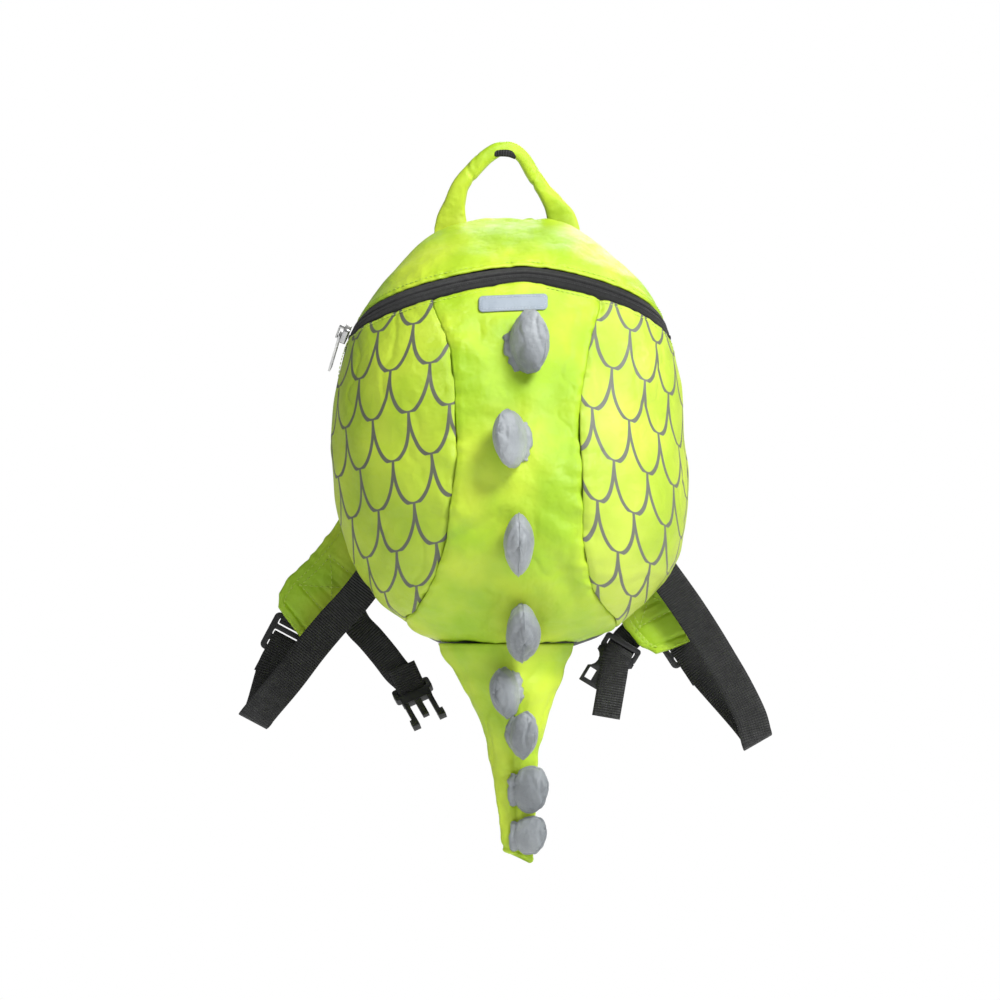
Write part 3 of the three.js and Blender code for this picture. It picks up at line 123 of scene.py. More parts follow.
# share down the bag, left seam, right seam
SEAM_ROWS = [
    (0.1, 0.32, 0.36), (0.208, 0.26, 0.3), (0.273, 0.194, 0.25), (0.325, 0.162, 0.228), (0.44, 0.138, 0.2),
    (0.55, 0.137, 0.19), (0.65, 0.157, 0.19), (0.75, 0.183, 0.194), (0.83, 0.235, 0.225),
    (0.872, 0.285, 0.265), (0.92, 0.405, 0.38), (0.947, 0.64, 0.55), (0.966, 0.84, 0.74),
    (0.985, 0.985, 0.985),
]
# turn, share down, half length, half width, rise, slant
FOLD_ROWS = [
    (-0.1, 0.62, 1, 1, -0.7, 15), (-0.12, 0.74, 0.9, 0.8, -0.9, -35), (-0.11, 0.31, 1, 0.9, 0.8, 40),
    (-0.04, 0.34, 1.1, 1, -0.6, 62), (0.14, 0.71, 1, 0.9, -0.8, 30), (0.17, 0.86, 1, 0.8, -0.9, 48),
    (0.13, 0.45, 1.5, 1.2, -0.7, 84), (-0.2, 0.93, 1.1, 0.9, -0.8, -55), (0.1, 0.96, 0.9, 0.8, -0.7, 75),
    (-0.5, 0.66, 1.6, 1.6, -0.8, 70), (0.5, 0.42, 1.5, 1.4, -0.7, -65), (0.52, 0.78, 1.3, 1.2, 0.7, 50),
]
FOLD_LENGTH, FOLD_WIDTH, FOLD_RISE = 22, 7, 2.2

TAIL_LENGTH, TAIL_HALF, TAIL_DEPTH = 128, 41, 53
# share down the tail, half width, lean, front, back
TAIL_ROWS = [
    (0, 1, -0.07, 1.02, 0), (0.065, 0.92, -0.07, 1, 0.03), (0.12, 0.83, -0.03, 0.97, 0.06),
    (0.176, 0.755, 0, 0.94, 0.1), (0.287, 0.595, 0.03, 0.85, 0.16), (0.4, 0.49, 0.03, 0.78, 0.22),
    (0.51, 0.4, 0.03, 0.71, 0.27), (0.62, 0.345, 0.06, 0.65, 0.31), (0.73, 0.31, 0.075, 0.61, 0.35),
    (0.86, 0.285, 0.085, 0.57, 0.38), (1, 0.255, 0.1, 0.54, 0.4),
]
TAIL_TOP = -TOP_DROP - BODY_HEIGHT - SEAM_GAP
TAIL_SLANT = 6

FIN_LENGTH, FIN_HEIGHT, FIN_THICKNESS = 38, 26, 18
# share up the fin, half length, half thickness, sweep
FIN_ROWS = [
    (0, 0.72, 0.62, 0), (0.3, 0.96, 0.92, 0.01), (0.55, 1, 1, 0.03), (0.78, 0.84, 0.84, 0.06),
    (0.93, 0.55, 0.52, 0.1), (1, 0.2, 0.2, 0.12),
]
# what it stands on, turn or side, share down, length, height, thickness, lean, tilt
FIN_PLACES = [
    ("bag", 0.016, 0.318, 1, 1.02, 0.95, 46, 14), ("bag", 0.034, 0.528, 0.92, 0.96, 0.95, -38, -4),
    ("bag", 0.014, 0.754, 1.06, 0.95, 1.02, 0, -2), ("bag", 0.028, 0.948, 1.18, 0.9, 1.18, 3, 2),
    ("tail", 0.05, 0.205, 0.86, 0.78, 0.86, -32, 4), ("tail", 0.05, 0.412, 0.78, 0.74, 0.8, 36, -4),
    ("tail", 0.02, 0.684, 0.76, 0.86, 0.76, 58, 0), ("tail", 0, 0.9, 0.64, 0.8, 0.72, 58, 0),
]

HANDLE_SPAN, HANDLE_WIDTH, HANDLE_THICKNESS, HANDLE_LAP = 85, 21, 10, 12
# side, up, width, thickness, back
HANDLE_ROWS = [
    (-0.41, -0.63, 1, 0.4, 1), (-0.405, -0.52, 1, 0.4, 1), (-0.4, -0.43, 0.86, 0.5, 0.95),
    (-0.378, -0.33, 0.62, 0.85, 0.85), (-0.335, -0.2, 0.5, 1, 0.65), (-0.255, -0.1, 0.47, 1, 0.4),
    (-0.16, -0.005, 0.46, 1, 0.15), (-0.06, 0.055, 0.44, 1, 0), (0.03, 0.054, 0.43, 1, 0),
    (0.1, 0.003, 0.42, 1, 0.15), (0.18, -0.125, 0.42, 1, 0.45), (0.255, -0.235, 0.46, 0.95, 0.7),
    (0.325, -0.335, 0.62, 0.7, 0.88), (0.372, -0.425, 0.85, 0.5, 0.96), (0.392, -0.52, 1, 0.4, 1),
    (0.4, -0.63, 1, 0.4, 1),
]

PAD_WIDTH, PAD_THICKNESS, PAD_REACH, PAD_DROP, PAD_STAND_OFF = 45, 9, 112, 222, 22
PAD_TOP_SIDE, PAD_TOP_DROP = 30, 22
# out, down, off, width, thickness
PAD_ROWS = {
    "left": [
        (0, 0, 0, 0.78, 0.7), (0.04, 0.1, 0.14, 0.85, 0.9), (0.1, 0.25, 0.6, 0.92, 1),
        (0.2, 0.43, 0.95, 0.98, 1), (0.34, 0.62, 1, 1, 1), (0.5, 0.78, 0.85, 1, 1), (0.66, 0.885, 0.66, 1, 1),
        (0.8, 0.95, 0.54, 0.97, 0.95),
        (0.885, 0.985, 0.5, 0.8, 0.8), (0.925, 1, 0.49, 0.52, 0.55),
    ],
    "right": [
        (0, 0, 0, 0.78, 0.7), (0.03, 0.1, 0.14, 0.85, 0.9), (0.07, 0.25, 0.6, 0.92, 1),
        (0.14, 0.43, 0.95, 0.98, 1), (0.25, 0.62, 1, 1, 1), (0.35, 0.77, 0.85, 1, 1),
        (0.435, 0.883, 0.68, 1, 1), (0.52, 0.97, 0.58, 0.97, 0.95),
        (0.585, 1.035, 0.52, 0.8, 0.8), (0.61, 1.068, 0.5, 0.52, 0.55),
    ],
}

WEBBING_WIDTH, WEBBING_THICKNESS, WEBBING_LAP, LOOP_RADIUS, LOOP_DROP = 19.5, 1.4, 13, 6, 87
CLEARANCE = 0.3
STRAP_REACH = WEBBING_THICKNESS / 2 + CLEARANCE
LOCK_BAR, LOCK_SLOT, LOCK_THICKNESS = 3.2, 3.8, 3.6
LOCK_LENGTH = 4 * LOCK_BAR + 3 * LOCK_SLOT
BAR_STEP = LOCK_BAR + LOCK_SLOT
LOCK_REACH = LOCK_THICKNESS / 2 + STRAP_REACH
LOOP_AT = {"left": 0.845, "right": 0.827}
# out, down, direction of the width
LOOP_ROWS = {
    "left": [(0, 0, -39), (0.125, 0.161, -39), (0.252, 0.299, -39), (0.413, 0.49, -38), (0.58, 0.71, -35),
             (0.732, 0.89, -31), (0.822, 1, -28)],
    "right": [(0, 0, 38), (0.186, 0.26, 36), (0.307, 0.446, 33), (0.428, 0.646, 32), (0.524, 0.811, 31),
              (0.63, 1.03, 29), (0.676, 1.2, 30)],
}
# out, down, slant
LOCK_PLACES = {"left": (0.58, 0.434, -28), "right": (0.162, 0.502, 33)}
CHEST_WIDTH = 17
# out, down, distance off the back (None on the pad), direction of the width
CHEST_ROWS = {
    "left": [(-0.97, 0.865, None, 42), (-0.925, 0.905, None, 42), (-0.869, 0.957, 0.66, 42),
             (-0.792, 0.992, 0.58, 40), (-0.712, 1.032, 0.5, 38), (-0.645, 1.068, 0.42, 33)],
    "right": [(0.86, 0.9, None, -42), (0.79, 0.927, None, -40), (0.735, 0.953, 0.62, -38),
              (0.685, 0.98, 0.5, -34)],
}
# out, down, off, way of the length, way of the width
BUCKLE_PLACES = {
    "left": (-0.555, 1.115, 0.3, (-0.36, -0.62, -0.7), (0.9, 0.1, 0.4)),
    "right": (0.62, 1.014, 0.34, (-0.517, 0, -0.856), (0.856, 0, -0.517)),
}
BUCKLE_BAR, BUCKLE_SLOT, BUCKLE_THICKNESS, MALE_THICKNESS = 3.2, 3.6, 8, 4
FREE_END = 38
REIN_WIDTH, REIN_DROP, REIN_SLANT = 19.5, 31, 26
LABEL_WIDTH, LABEL_HEIGHT, LABEL_DROP, LABEL_SHIFT, LABEL_SLANT = 41, 9.6, 53.1, 3, 2.2

# Curves and noise


def column(rows, index):
    """One column of a table as a smooth function of its first, with no overshoot between rows."""
    at = np.array([row[0] for row in rows], float)
    value = np.array([row[index] for row in rows], float)
    rise = np.diff(value) / np.diff(at)
    slope = np.concatenate([rise[:1], np.zeros(len(at) - 2), rise[-1:]])
    product = rise[:-1] * rise[1:]
    total = rise[:-1] + rise[1:]
    slope[1:-1] = np.where(product > 0, 2 * product / np.where(total == 0, 1, total), 0)

    def smooth(share):
        share = np.asarray(share, float)
        i = np.clip(np.searchsorted(at, share, side="right") - 1, 0, len(at) - 2)
        span = at[i + 1] - at[i]
        f = (share - at[i]) / span
        g = 1 - f
        inside = value[i] * g * g * (1 + 2 * f) + value[i + 1] * f * f * (3 - 2 * f)
        inside = inside + span * f * g * (slope[i] * g - slope[i + 1] * f)
        below = value[0] + slope[0] * (share - at[0])
        above = value[-1] + slope[-1] * (share - at[-1])
        return np.where(share <= at[0], below, np.where(share >= at[-1], above, inside))

    return smooth


def noise(x, y, seed):
    """Smooth noise between -1 and 1, with cells one unit wide."""
    table = np.random.RandomState(seed).uniform(-1, 1, (64, 64))
    x, y = np.broadcast_arrays(np.asarray(x, float), np.asarray(y, float))
    i, j = np.floor(x).astype(int), np.floor(y).astype(int)
    f, g = x - i, y - j
    f, g = f * f * (3 - 2 * f), g * g * (3 - 2 * g)
    low = table[i % 64, j % 64] * (1 - f) + table[(i + 1) % 64, j % 64] * f
    high = table[i % 64, (j + 1) % 64] * (1 - f) + table[(i + 1) % 64, (j + 1) % 64] * f
    return low * (1 - g) + high * g


def crease(x, y, seed):
    """Sharp-bottomed creases: 0 between them, -1 in them."""
    return -np.maximum(0, 1 - 3.2 * np.abs(noise(x, y, seed))) ** 1.5


def unit(v):
    v = np.asarray(v, float)
    return v / np.maximum(np.linalg.norm(v, axis=-1, keepdims=True), 1e-9)


def smooth_line(points, count):
    """Points spread by row number along the same smooth curve that the solids follow."""
    points = np.asarray(points, float)
    last = len(points) - 1
    padded = np.vstack([2 * points[0] - points[1], points, 2 * points[-1] - points[-2]])
    step = np.maximum(np.linalg.norm(np.diff(padded, axis=0), axis=1) ** 0.5, 1e-4)
    out = []
    for t in np.linspace(0, last, count):
        i = min(int(t), last - 1)
        f = t - i
        p0, p1, p2, p3 = padded[i : i + 4]
        d0, d1, d2 = step[i : i + 3]
        t1 = ((p1 - p0) / d0 - (p2 - p0) / (d0 + d1) + (p2 - p1) / d1) * d1
        t2 = ((p2 - p1) / d1 - (p3 - p1) / (d1 + d2) + (p3 - p2) / d2) * d1
        square, cube = -3 * p1 + 3 * p2 - 2 * t1 - t2, 2 * p1 - 2 * p2 + t1 + t2
        out.append(p1 + t1 * f + square * f * f + cube * f**3)
    return np.array(out)


def spaced(points, count):
    """Points spread evenly by length along a line of points."""
    points = np.asarray(points, float)
    along = np.concatenate([[0], np.cumsum(np.linalg.norm(np.diff(points, axis=0), axis=1))])
    wanted = np.linspace(0, along[-1], count)
    return np.stack([np.interp(wanted, along, points[:, k]) for k in range(points.shape[1])], 1)


# The bag's skin

half_at, lean_at, deep_at = (column(BODY_ROWS, i) for i in (1, 2, 3))
seam_left, seam_right = (column(SEAM_ROWS, i) for i in (1, 2))


def plain_skin(turn, down):
    """The bag's skin: turn from -1 at its left edge to 1 at its right, down from top to bottom."""
    turn, down = np.broadcast_arrays(np.asarray(turn, float), np.asarray(down, float))
    half = half_at(down) * BODY_HALF
    deep = deep_at(down) * BODY_DEPTH
    tuck = TUCK_DEPTH * deep
    quarter = np.abs(turn) / QUARTER
    angle = np.minimum(quarter, 1) * math.pi / 2
    side = half * np.sin(angle)
    back = -tuck - (deep - tuck) * np.maximum(np.cos(angle), 0) ** ROUNDNESS
    share = np.maximum(quarter - 1, 0) / (1 / QUARTER - 1)
    side = side * (1 - TUCK_IN * share**2)
    back = back + np.where(quarter > 1, tuck * share, 0)
    x = BODY_CENTRE + lean_at(down) * BODY_HALF + np.sign(turn) * side
    return np.stack([x, SEAT_Y + back, -TOP_DROP - down * BODY_HEIGHT], -1)


def skin_frame(turn, down):
    step = 0.004
    by_turn = (plain_skin(turn + step, down) - plain_skin(turn - step, down)) / (2 * step)
    by_down = (plain_skin(turn, down + step) - plain_skin(turn, down - step)) / (2 * step)
    normal = unit(np.cross(by_turn, by_down))
    turn = np.broadcast_to(turn, normal.shape[:-1])
    facing = normal[..., 1] * np.cos(turn * 2) - normal[..., 0] * np.sign(turn) * np.abs(np.sin(turn * 2))
    return by_turn, by_down, np.where(facing[..., None] > 0, -normal, normal)


def fold_height(turn, down):
    height = np.zeros(np.broadcast(turn, down).shape)
    for at_turn, at_down, long, wide, rise, slant in FOLD_ROWS:
        x = (turn - at_turn) * BODY_HALF * 1.9
        z = (down - at_down) * BODY_HEIGHT
        c, s = math.cos(math.radians(slant)), math.sin(math.radians(slant))
        along = (x * c + z * s) / (long * FOLD_LENGTH)
        across = (z * c - x * s) / (wide * FOLD_WIDTH)
        height = height + rise * FOLD_RISE * np.exp(-(along**2) - across**2)
    return height


def skin(turn, down, lift=0):
    normal = skin_frame(turn, down)[2]
    return plain_skin(turn, down) + normal * (lift + fold_height(turn, down))[..., None]


def slide(turn, down, way):
    by_turn, by_down, _ = skin_frame(turn, down)
    a, b, c = (by_turn * by_turn).sum(-1), (by_turn * by_down).sum(-1), (by_down * by_down).sum(-1)
    u, v = (by_turn * way).sum(-1), (by_down * way).sum(-1)
    det = a * c - b * b
    return turn + (c * u - b * v) / det, down + (a * v - b * u) / det


def zip_line(turn):
    reach = QUARTER - np.sign(turn - ZIP_APEX) * ZIP_APEX
    side = np.minimum(np.abs(turn - ZIP_APEX) / reach, 1)
    behind = np.maximum(0, (np.abs(turn) - QUARTER) / (1 - QUARTER))
    return (ZIP_DROP + ZIP_SIDE_DROP * side**ZIP_BOW + ZIP_END_DROP * behind) / BODY_HEIGHT


def zip_frame(turn):
    step = 0.01
    down = zip_line(turn)
    ahead = plain_skin(turn + step, zip_line(turn + step))
    along = unit(ahead - plain_skin(turn - step, zip_line(turn - step)))
    normal = skin_frame(turn, down)[2]
    up = unit(np.cross(along, normal))
    return down, along, normal, np.where(up[..., 2:] < 0, -up, up)


def beside_zip(offset):
    """A line beside the zip, as its zip place, turn and share down."""
    place = np.linspace(-1.3, 1.3, 521)
    down, _, _, up = zip_frame(place)
    turn, level = slide(place, down, up * offset / 2)
    turn, level = slide(turn, level, up * offset / 2)
    return place, turn, level


upper_hem = beside_zip(ZIP_SHOWING / 2)
lower_hem = beside_zip(-ZIP_SHOWING / 2)


def lower_hem_at(turn):
    return np.interp(turn, lower_hem[1], lower_hem[2])


def zip_places(offset, count):
    place, turn, down = beside_zip(offset)
    first, last = np.interp([-RIM, RIM], turn, place)
    wanted = np.linspace(first, last, count)
    return np.interp(wanted, place, turn), np.interp(wanted, place, down)


def seam_side(seam, sign, way):
    """A seam's turn at a level, moved sideways by half the seam's gap."""

    def edge(down):
        step = 0.004
        turn = sign * np.minimum(seam(down), RIM)
        by_turn, by_down, _ = skin_frame(turn, down)
        slope = sign * (seam(down + step) - seam(down - step)) / (2 * step)
        area = np.linalg.norm(np.cross(by_turn, by_down), axis=-1)
        along = np.linalg.norm(by_down + by_turn * slope[..., None], axis=-1)
        return turn + way * SEWN_GAP * along / (2 * area)

    return edge


def hanging_places(start, end, rows, cols, below=0):
    """Skin places of a panel that hangs from the zip's lower hem, and its length and width coordinates."""
    share = np.linspace(0, 1, cols)[None, :].repeat(rows + below, 0)
    top = np.full(share.shape, 0.2)
    for turn_pass in range(12):
        turn = start(top) + (end(top) - start(top)) * share
        top = top + (lower_hem_at(turn) - top) * (0.7 if turn_pass else 1)
    level = np.arange(rows)[:, None] / (rows - 1)
    down = SIDE_END + (top[:rows] - SIDE_END) * (1 - level) ** 1.15
    if below:
        more = SIDE_END + (1 - SIDE_END) * (np.arange(below)[:, None] + 1) / below
        down = np.vstack([down, np.broadcast_to(more, (below, cols))])
    return start(down) + (end(down) - start(down)) * share, down


# Distances over the cloth in millimetres: round the bag from its front middle and down it.
SKIN_TURNS = np.linspace(0, 1.02, 103)
SKIN_DOWNS = np.linspace(-0.02, 1.02, 105)
skin_grid = plain_skin(SKIN_TURNS[None, :], SKIN_DOWNS[:, None])
round_steps = np.linalg.norm(np.diff(skin_grid, axis=1), axis=2)
ROUND_TABLE = np.hstack([np.zeros((len(SKIN_DOWNS), 1)), np.cumsum(round_steps, axis=1)])
front_line = plain_skin(0.45, SKIN_DOWNS)
DOWN_TABLE = np.concatenate([[0], np.cumsum(np.linalg.norm(np.diff(front_line, axis=0), axis=1))])
DOWN_TABLE -= np.interp(0, SKIN_DOWNS, DOWN_TABLE)


def cloth_place(turn, down):
    """How far a skin place lies round and down the cloth, in millimetres."""
    i = np.clip(np.abs(turn) / SKIN_TURNS[1], 0, len(SKIN_TURNS) - 1.001)
    j = np.clip((down - SKIN_DOWNS[0]) / (SKIN_DOWNS[1] - SKIN_DOWNS[0]), 0, len(SKIN_DOWNS) - 1.001)
    a, b = i.astype(int), j.astype(int)
    f, g = i - a, j - b
    low = ROUND_TABLE[b, a] * (1 - f) + ROUND_TABLE[b, a + 1] * f
    high = ROUND_TABLE[b + 1, a] * (1 - f) + ROUND_TABLE[b + 1, a + 1] * f
    return np.sign(turn) * (low * (1 - g) + high * g), np.interp(down, SKIN_DOWNS, DOWN_TABLE)


# Meshes


def new_mesh(name, points, faces, uvs=None, materials=()):
    """A piece from points in millimetres and quads or triangles, with a UV in metres for each point."""
    mesh = bpy.data.meshes.new(name)
    mesh.from_pydata((np.asarray(points) * 0.001).tolist(), [], [list(map(int, face)) for face in faces])
    if uvs is not None:
        layer = mesh.uv_layers.new(name="cloth")
        corners = np.empty(len(mesh.loops), np.int32)
        mesh.loops.foreach_get("vertex_index", corners)
        layer.data.foreach_set("uv", (np.asarray(uvs)[corners] * 0.001).ravel())
    for material in materials:
        mesh.materials.append(material)
    mesh.polygons.foreach_set("use_smooth", [True] * len(mesh.polygons))
    mesh.update()
    piece = bpy.data.objects.new(name, mesh)
    scene.collection.objects.link(piece)
    turn_outwards(piece)
    return piece


def vertex_values(mesh, kind="co"):
    """The places or the normals of a mesh's points."""
    values = np.empty(len(mesh.vertices) * 3)
    mesh.vertices.foreach_get(kind, values)
    return values.reshape(-1, 3)


def turn_outwards(piece):
    """Turns a closed piece's faces outwards, judged by the volume that they enclose."""
    mesh = piece.data
    mesh.calc_loop_triangles()
    points = vertex_values(mesh)
    corners = np.empty(len(mesh.loop_triangles) * 3, np.int32)
    mesh.loop_triangles.foreach_get("vertices", corners)
    a, b, c = points[corners.reshape(-1, 3)].transpose(1, 0, 2)
    if (a * np.cross(b, c)).sum() < 0:
        mesh.flip_normals()


def grid_faces(rows, cols, start=0, wrap=False):
    i, j = np.meshgrid(np.arange(rows - 1), np.arange(cols if wrap else cols - 1), indexing="ij")
    k = (j + 1) % cols
    quads = np.stack([i * cols + j, (i + 1) * cols + j, (i + 1) * cols + k, i * cols + k], -1)
    return (quads.reshape(-1, 4) + start).tolist()


def grid_normals(grid):
    down = np.gradient(grid, axis=0)
    across = np.gradient(grid, axis=1)
    return unit(np.cross(down, across))


INSIDE = (BODY_CENTRE, -30, -TOP_DROP - BODY_HEIGHT / 2)


def wall(name, outer, uv, thickness, material, away_from=INSIDE):
    """A cloth panel: an outer grid and an inner one behind it, closed along the edges."""
    rows, cols = outer.shape[:2]
    normal = grid_normals(outer)
    middle = outer[rows // 2, cols // 2]
    if (normal[rows // 2, cols // 2] * (middle - np.asarray(away_from))).sum() < 0:
        normal = -normal
    inner = outer - normal * thickness
    count = rows * cols
    faces = grid_faces(rows, cols) + [face[::-1] for face in grid_faces(rows, cols, count)]
    rim = [(0, j) for j in range(cols)] + [(i, cols - 1) for i in range(1, rows)]
    rim += [(rows - 1, j) for j in range(cols - 2, -1, -1)] + [(i, 0) for i in range(rows - 2, 0, -1)]
    for (i, j), (k, m) in zip(rim, rim[1:] + rim[:1]):
        a, b = i * cols + j, k * cols + m
        faces.append([a, b, b + count, a + count])
    points = np.vstack([outer.reshape(-1, 3), inner.reshape(-1, 3)])
    return new_mesh(name, points, faces, np.vstack([uv.reshape(-1, 2)] * 2), [material])


def loft(name, rings, uv, material):
    """A closed solid through rings of points, with a fan of faces over each end."""
    rows, cols = rings.shape[:2]
    points = np.vstack([rings.reshape(-1, 3), rings[0].mean(0), rings[-1].mean(0)])
    uvs = np.vstack([uv.reshape(-1, 2), uv[0].mean(0), uv[-1].mean(0)])
    faces = grid_faces(rows, cols, 0, True)
    for j in range(cols):
        k = (j + 1) % cols
        faces.append([j, k, rows * cols])
        faces.append([(rows - 1) * cols + k, (rows - 1) * cols + j, rows * cols + 1])
    return new_mesh(name, points, faces, uvs, [material])


def strap_section():
    """A strap's cross-section in half widths and half thicknesses, with rounded edges."""
    across = np.linspace(-0.958, 0.958, 8)
    top = [(w, 1.0) for w in across]
    right = [(1, 0.55), (1, -0.55)]
    bottom = [(w, -1.0) for w in across[::-1]]
    left = [(-1, -0.55), (-1, 0.55)]
    return np.array(top + right + bottom + left)


def round_section(count, power=0.7):
    a = (np.arange(count) + 0.5) * 2 * math.pi / count
    c, s = np.cos(a), np.sin(a)
    return np.stack([np.sign(c) * np.abs(c) ** power, np.sign(s) * np.abs(s) ** power], 1)


def ways(line):
    """The way that a line of points runs at each of them."""
    return np.vstack([line[1:], line[-1:]]) - np.vstack([line[:1], line[:-1]])


def band_rings(line, cross, wide, thick, section):
    """Rings along a line, each the section turned to the line, and their cloth coordinates."""
    along = unit(ways(line))
    cross = unit(cross - along * (cross * along).sum(-1, keepdims=True))
    face = np.cross(along, cross)
    w = section[None, :, 0] * np.broadcast_to(wide, len(line))[:, None] / 2
    t = section[None, :, 1] * np.broadcast_to(thick, len(line))[:, None] / 2
    rings = line[:, None] + cross[:, None] * w[..., None] + face[:, None] * t[..., None]
    run = np.concatenate([[0], np.cumsum(np.linalg.norm(np.diff(line, axis=0), axis=1))])
    uv = np.stack([w, np.broadcast_to(run[:, None], w.shape)], -1)
    return rings, uv, face, cross


def between_rows(rows, count):
    """The values of a table's rows, spread by row number."""
    rows = np.asarray(rows, float)
    t = np.linspace(0, len(rows) - 1, count)
    return np.stack([np.interp(t, np.arange(len(rows)), rows[:, k]) for k in range(rows.shape[1])], 1)


# Padding by cloth simulation


def puffed(piece, held, pressure, most, frames=20):
    """Swells a closed piece with Blender's cloth, keeps its held points, and caps how far the others move."""
    mesh = piece.data
    before = vertex_values(mesh)
    group = piece.vertex_groups.new(name="held")
    for index, weight in enumerate(held):
        if weight > 0:
            group.add([index], float(weight), "REPLACE")
    cloth = piece.modifiers.new("swell", "CLOTH")
    cloth.settings.quality = 5
    cloth.settings.mass = 0.15
    cloth.settings.tension_stiffness = 15
    cloth.settings.compression_stiffness = 15
    cloth.settings.shear_stiffness = 8
    cloth.settings.bending_stiffness = 0.4
    cloth.settings.use_pressure = True
    cloth.settings.uniform_pressure_force = pressure
    cloth.settings.effector_weights.gravity = 0
    cloth.settings.vertex_group_mass = "held"
    cloth.point_cache.frame_start = 1
    cloth.point_cache.frame_end = frames
    for number in range(1, frames + 1):
        scene.frame_set(number)
    simulated = piece.evaluated_get(bpy.context.evaluated_depsgraph_get())
    after = vertex_values(simulated.to_mesh())
    simulated.to_mesh_clear()
    piece.modifiers.remove(cloth)
    piece.vertex_groups.remove(group)
    move = after - before
    far = np.linalg.norm(move, axis=1, keepdims=True)
    move *= np.minimum(1, most / np.maximum(far, 1e-9))
    mesh.vertices.foreach_set("co", (before + move).ravel())
    mesh.update()
    scene.frame_set(1)


def made_plain(piece):
    """Turns a piece with modifiers into a plain mesh."""
    plain = bpy.data.meshes.new_from_object(piece.evaluated_get(bpy.context.evaluated_depsgraph_get()))
    piece.modifiers.clear()
    old = piece.data
    piece.data = plain
    plain.name = piece.name
    bpy.data.meshes.remove(old)


# Finishes


def linear(red, green, blue):
    """A colour as the eye names it, 0 to 255, in the values that the shader wants."""
    values = [c / 255 for c in (red, green, blue)]
    return tuple(c / 12.92 if c <= 0.04045 else ((c + 0.055) / 1.055) ** 2.4 for c in values) + (1.0,)


def fed(tree, socket, value):
    """Gives a socket a number, a colour or another node's output."""
    if isinstance(value, (int, float, tuple)):
        socket.default_value = value
    else:
        tree.links.new(value, socket)


def calculated(tree, operation, *values):
    """A Math node whose inputs are numbers or the outputs of other nodes."""
    node = tree.nodes.new("ShaderNodeMath")
    node.operation = operation
    for socket, value in zip(node.inputs, values):
        fed(tree, socket, value)
    return node.outputs[0]


def eased(tree, value, low, high, start=0.0, end=1.0):
    node = tree.nodes.new("ShaderNodeMapRange")
    node.interpolation_type = "SMOOTHSTEP"
    names = ("Value", "From Min", "From Max", "To Min", "To Max")
    for name, given in zip(names, (value, low, high, start, end)):
        fed(tree, node.inputs[name], given)
    return node.outputs["Result"]


def noise_at(tree, vector, scale, detail=2.0, rough=0.5):
    node = tree.nodes.new("ShaderNodeTexNoise")
    node.inputs["Scale"].default_value = scale
    node.inputs["Detail"].default_value = detail
    node.inputs["Roughness"].default_value = rough
    tree.links.new(vector, node.inputs["Vector"])
    return node.outputs["Fac"]


def new_group(name, inputs, outputs):
    """An empty node group with a place for each named input and output."""
    group = bpy.data.node_groups.new(name, "ShaderNodeTree")
    for label, kind, value in inputs:
        socket = group.interface.new_socket(label, in_out="INPUT", socket_type="NodeSocket" + kind)
        if value is not None:
            socket.default_value = value
    for label, kind in outputs:
        group.interface.new_socket(label, in_out="OUTPUT", socket_type="NodeSocket" + kind)
    entry = group.nodes.new("NodeGroupInput")
    leave = group.nodes.new("NodeGroupOutput")
    return group, entry.outputs, leave.inputs


def make_weave():
    """Plain woven threads: a height, from a place on the cloth in metres."""
    inputs = [("Place", "Vector", None), ("Pitch", "Float", 0.0006)]
    group, given, result = new_group("cloth_weave", inputs, [("Height", "Float")])
    split = group.nodes.new("ShaderNodeSeparateXYZ")
    group.links.new(given["Place"], split.inputs[0])
    turns = calculated(group, "DIVIDE", 2 * math.pi, given["Pitch"])
    u = calculated(group, "SINE", calculated(group, "MULTIPLY", split.outputs[0], turns))
    v = calculated(group, "SINE", calculated(group, "MULTIPLY", split.outputs[1], turns))
    group.links.new(calculated(group, "MULTIPLY", u, v), result["Height"])
    return group


def make_blotches():
    """Blotches of painted light and shade over a cloth, and small soft wrinkles, from a place in metres."""
    inputs = [("Place", "Vector", None), ("Size", "Float", 0.05), ("Wrinkle", "Float", 0.008)]
    group, given, result = new_group("cloth_blotches", inputs, [("Light And Shade", "Float"), ("Wrinkles", "Float")])
    for label, size, detail in (("Light And Shade", "Size", 3.0), ("Wrinkles", "Wrinkle", 2.0)):
        node = group.nodes.new("ShaderNodeTexNoise")
        node.inputs["Detail"].default_value = detail
        group.links.new(given["Place"], node.inputs["Vector"])
        group.links.new(calculated(group, "DIVIDE", 1.0, given[size]), node.inputs["Scale"])
        group.links.new(node.outputs["Fac"], result[label])
    return group


def make_ribs():
    """Cross ribs along a strap and a fine twill between them: a height, and a mask of painted shade in the
    grooves.
    """
    inputs = [("Place", "Vector", None), ("Pitch", "Float", 0.0014)]
    group, given, result = new_group("strap_ribs", inputs, [("Height", "Float"), ("Groove Shade", "Float")])
    split = group.nodes.new("ShaderNodeSeparateXYZ")
    group.links.new(given["Place"], split.inputs[0])
    turns = calculated(group, "DIVIDE", 2 * math.pi, given["Pitch"])
    ribs = calculated(group, "SINE", calculated(group, "MULTIPLY", split.outputs[1], turns))
    across = calculated(group, "SINE", calculated(group, "MULTIPLY", split.outputs[0], turns))
    height = calculated(group, "MULTIPLY_ADD", across, 0.22, ribs)
    group.links.new(height, result["Height"])
    group.links.new(eased(group, ribs, -0.2, -0.9), result["Groove Shade"])
    return group


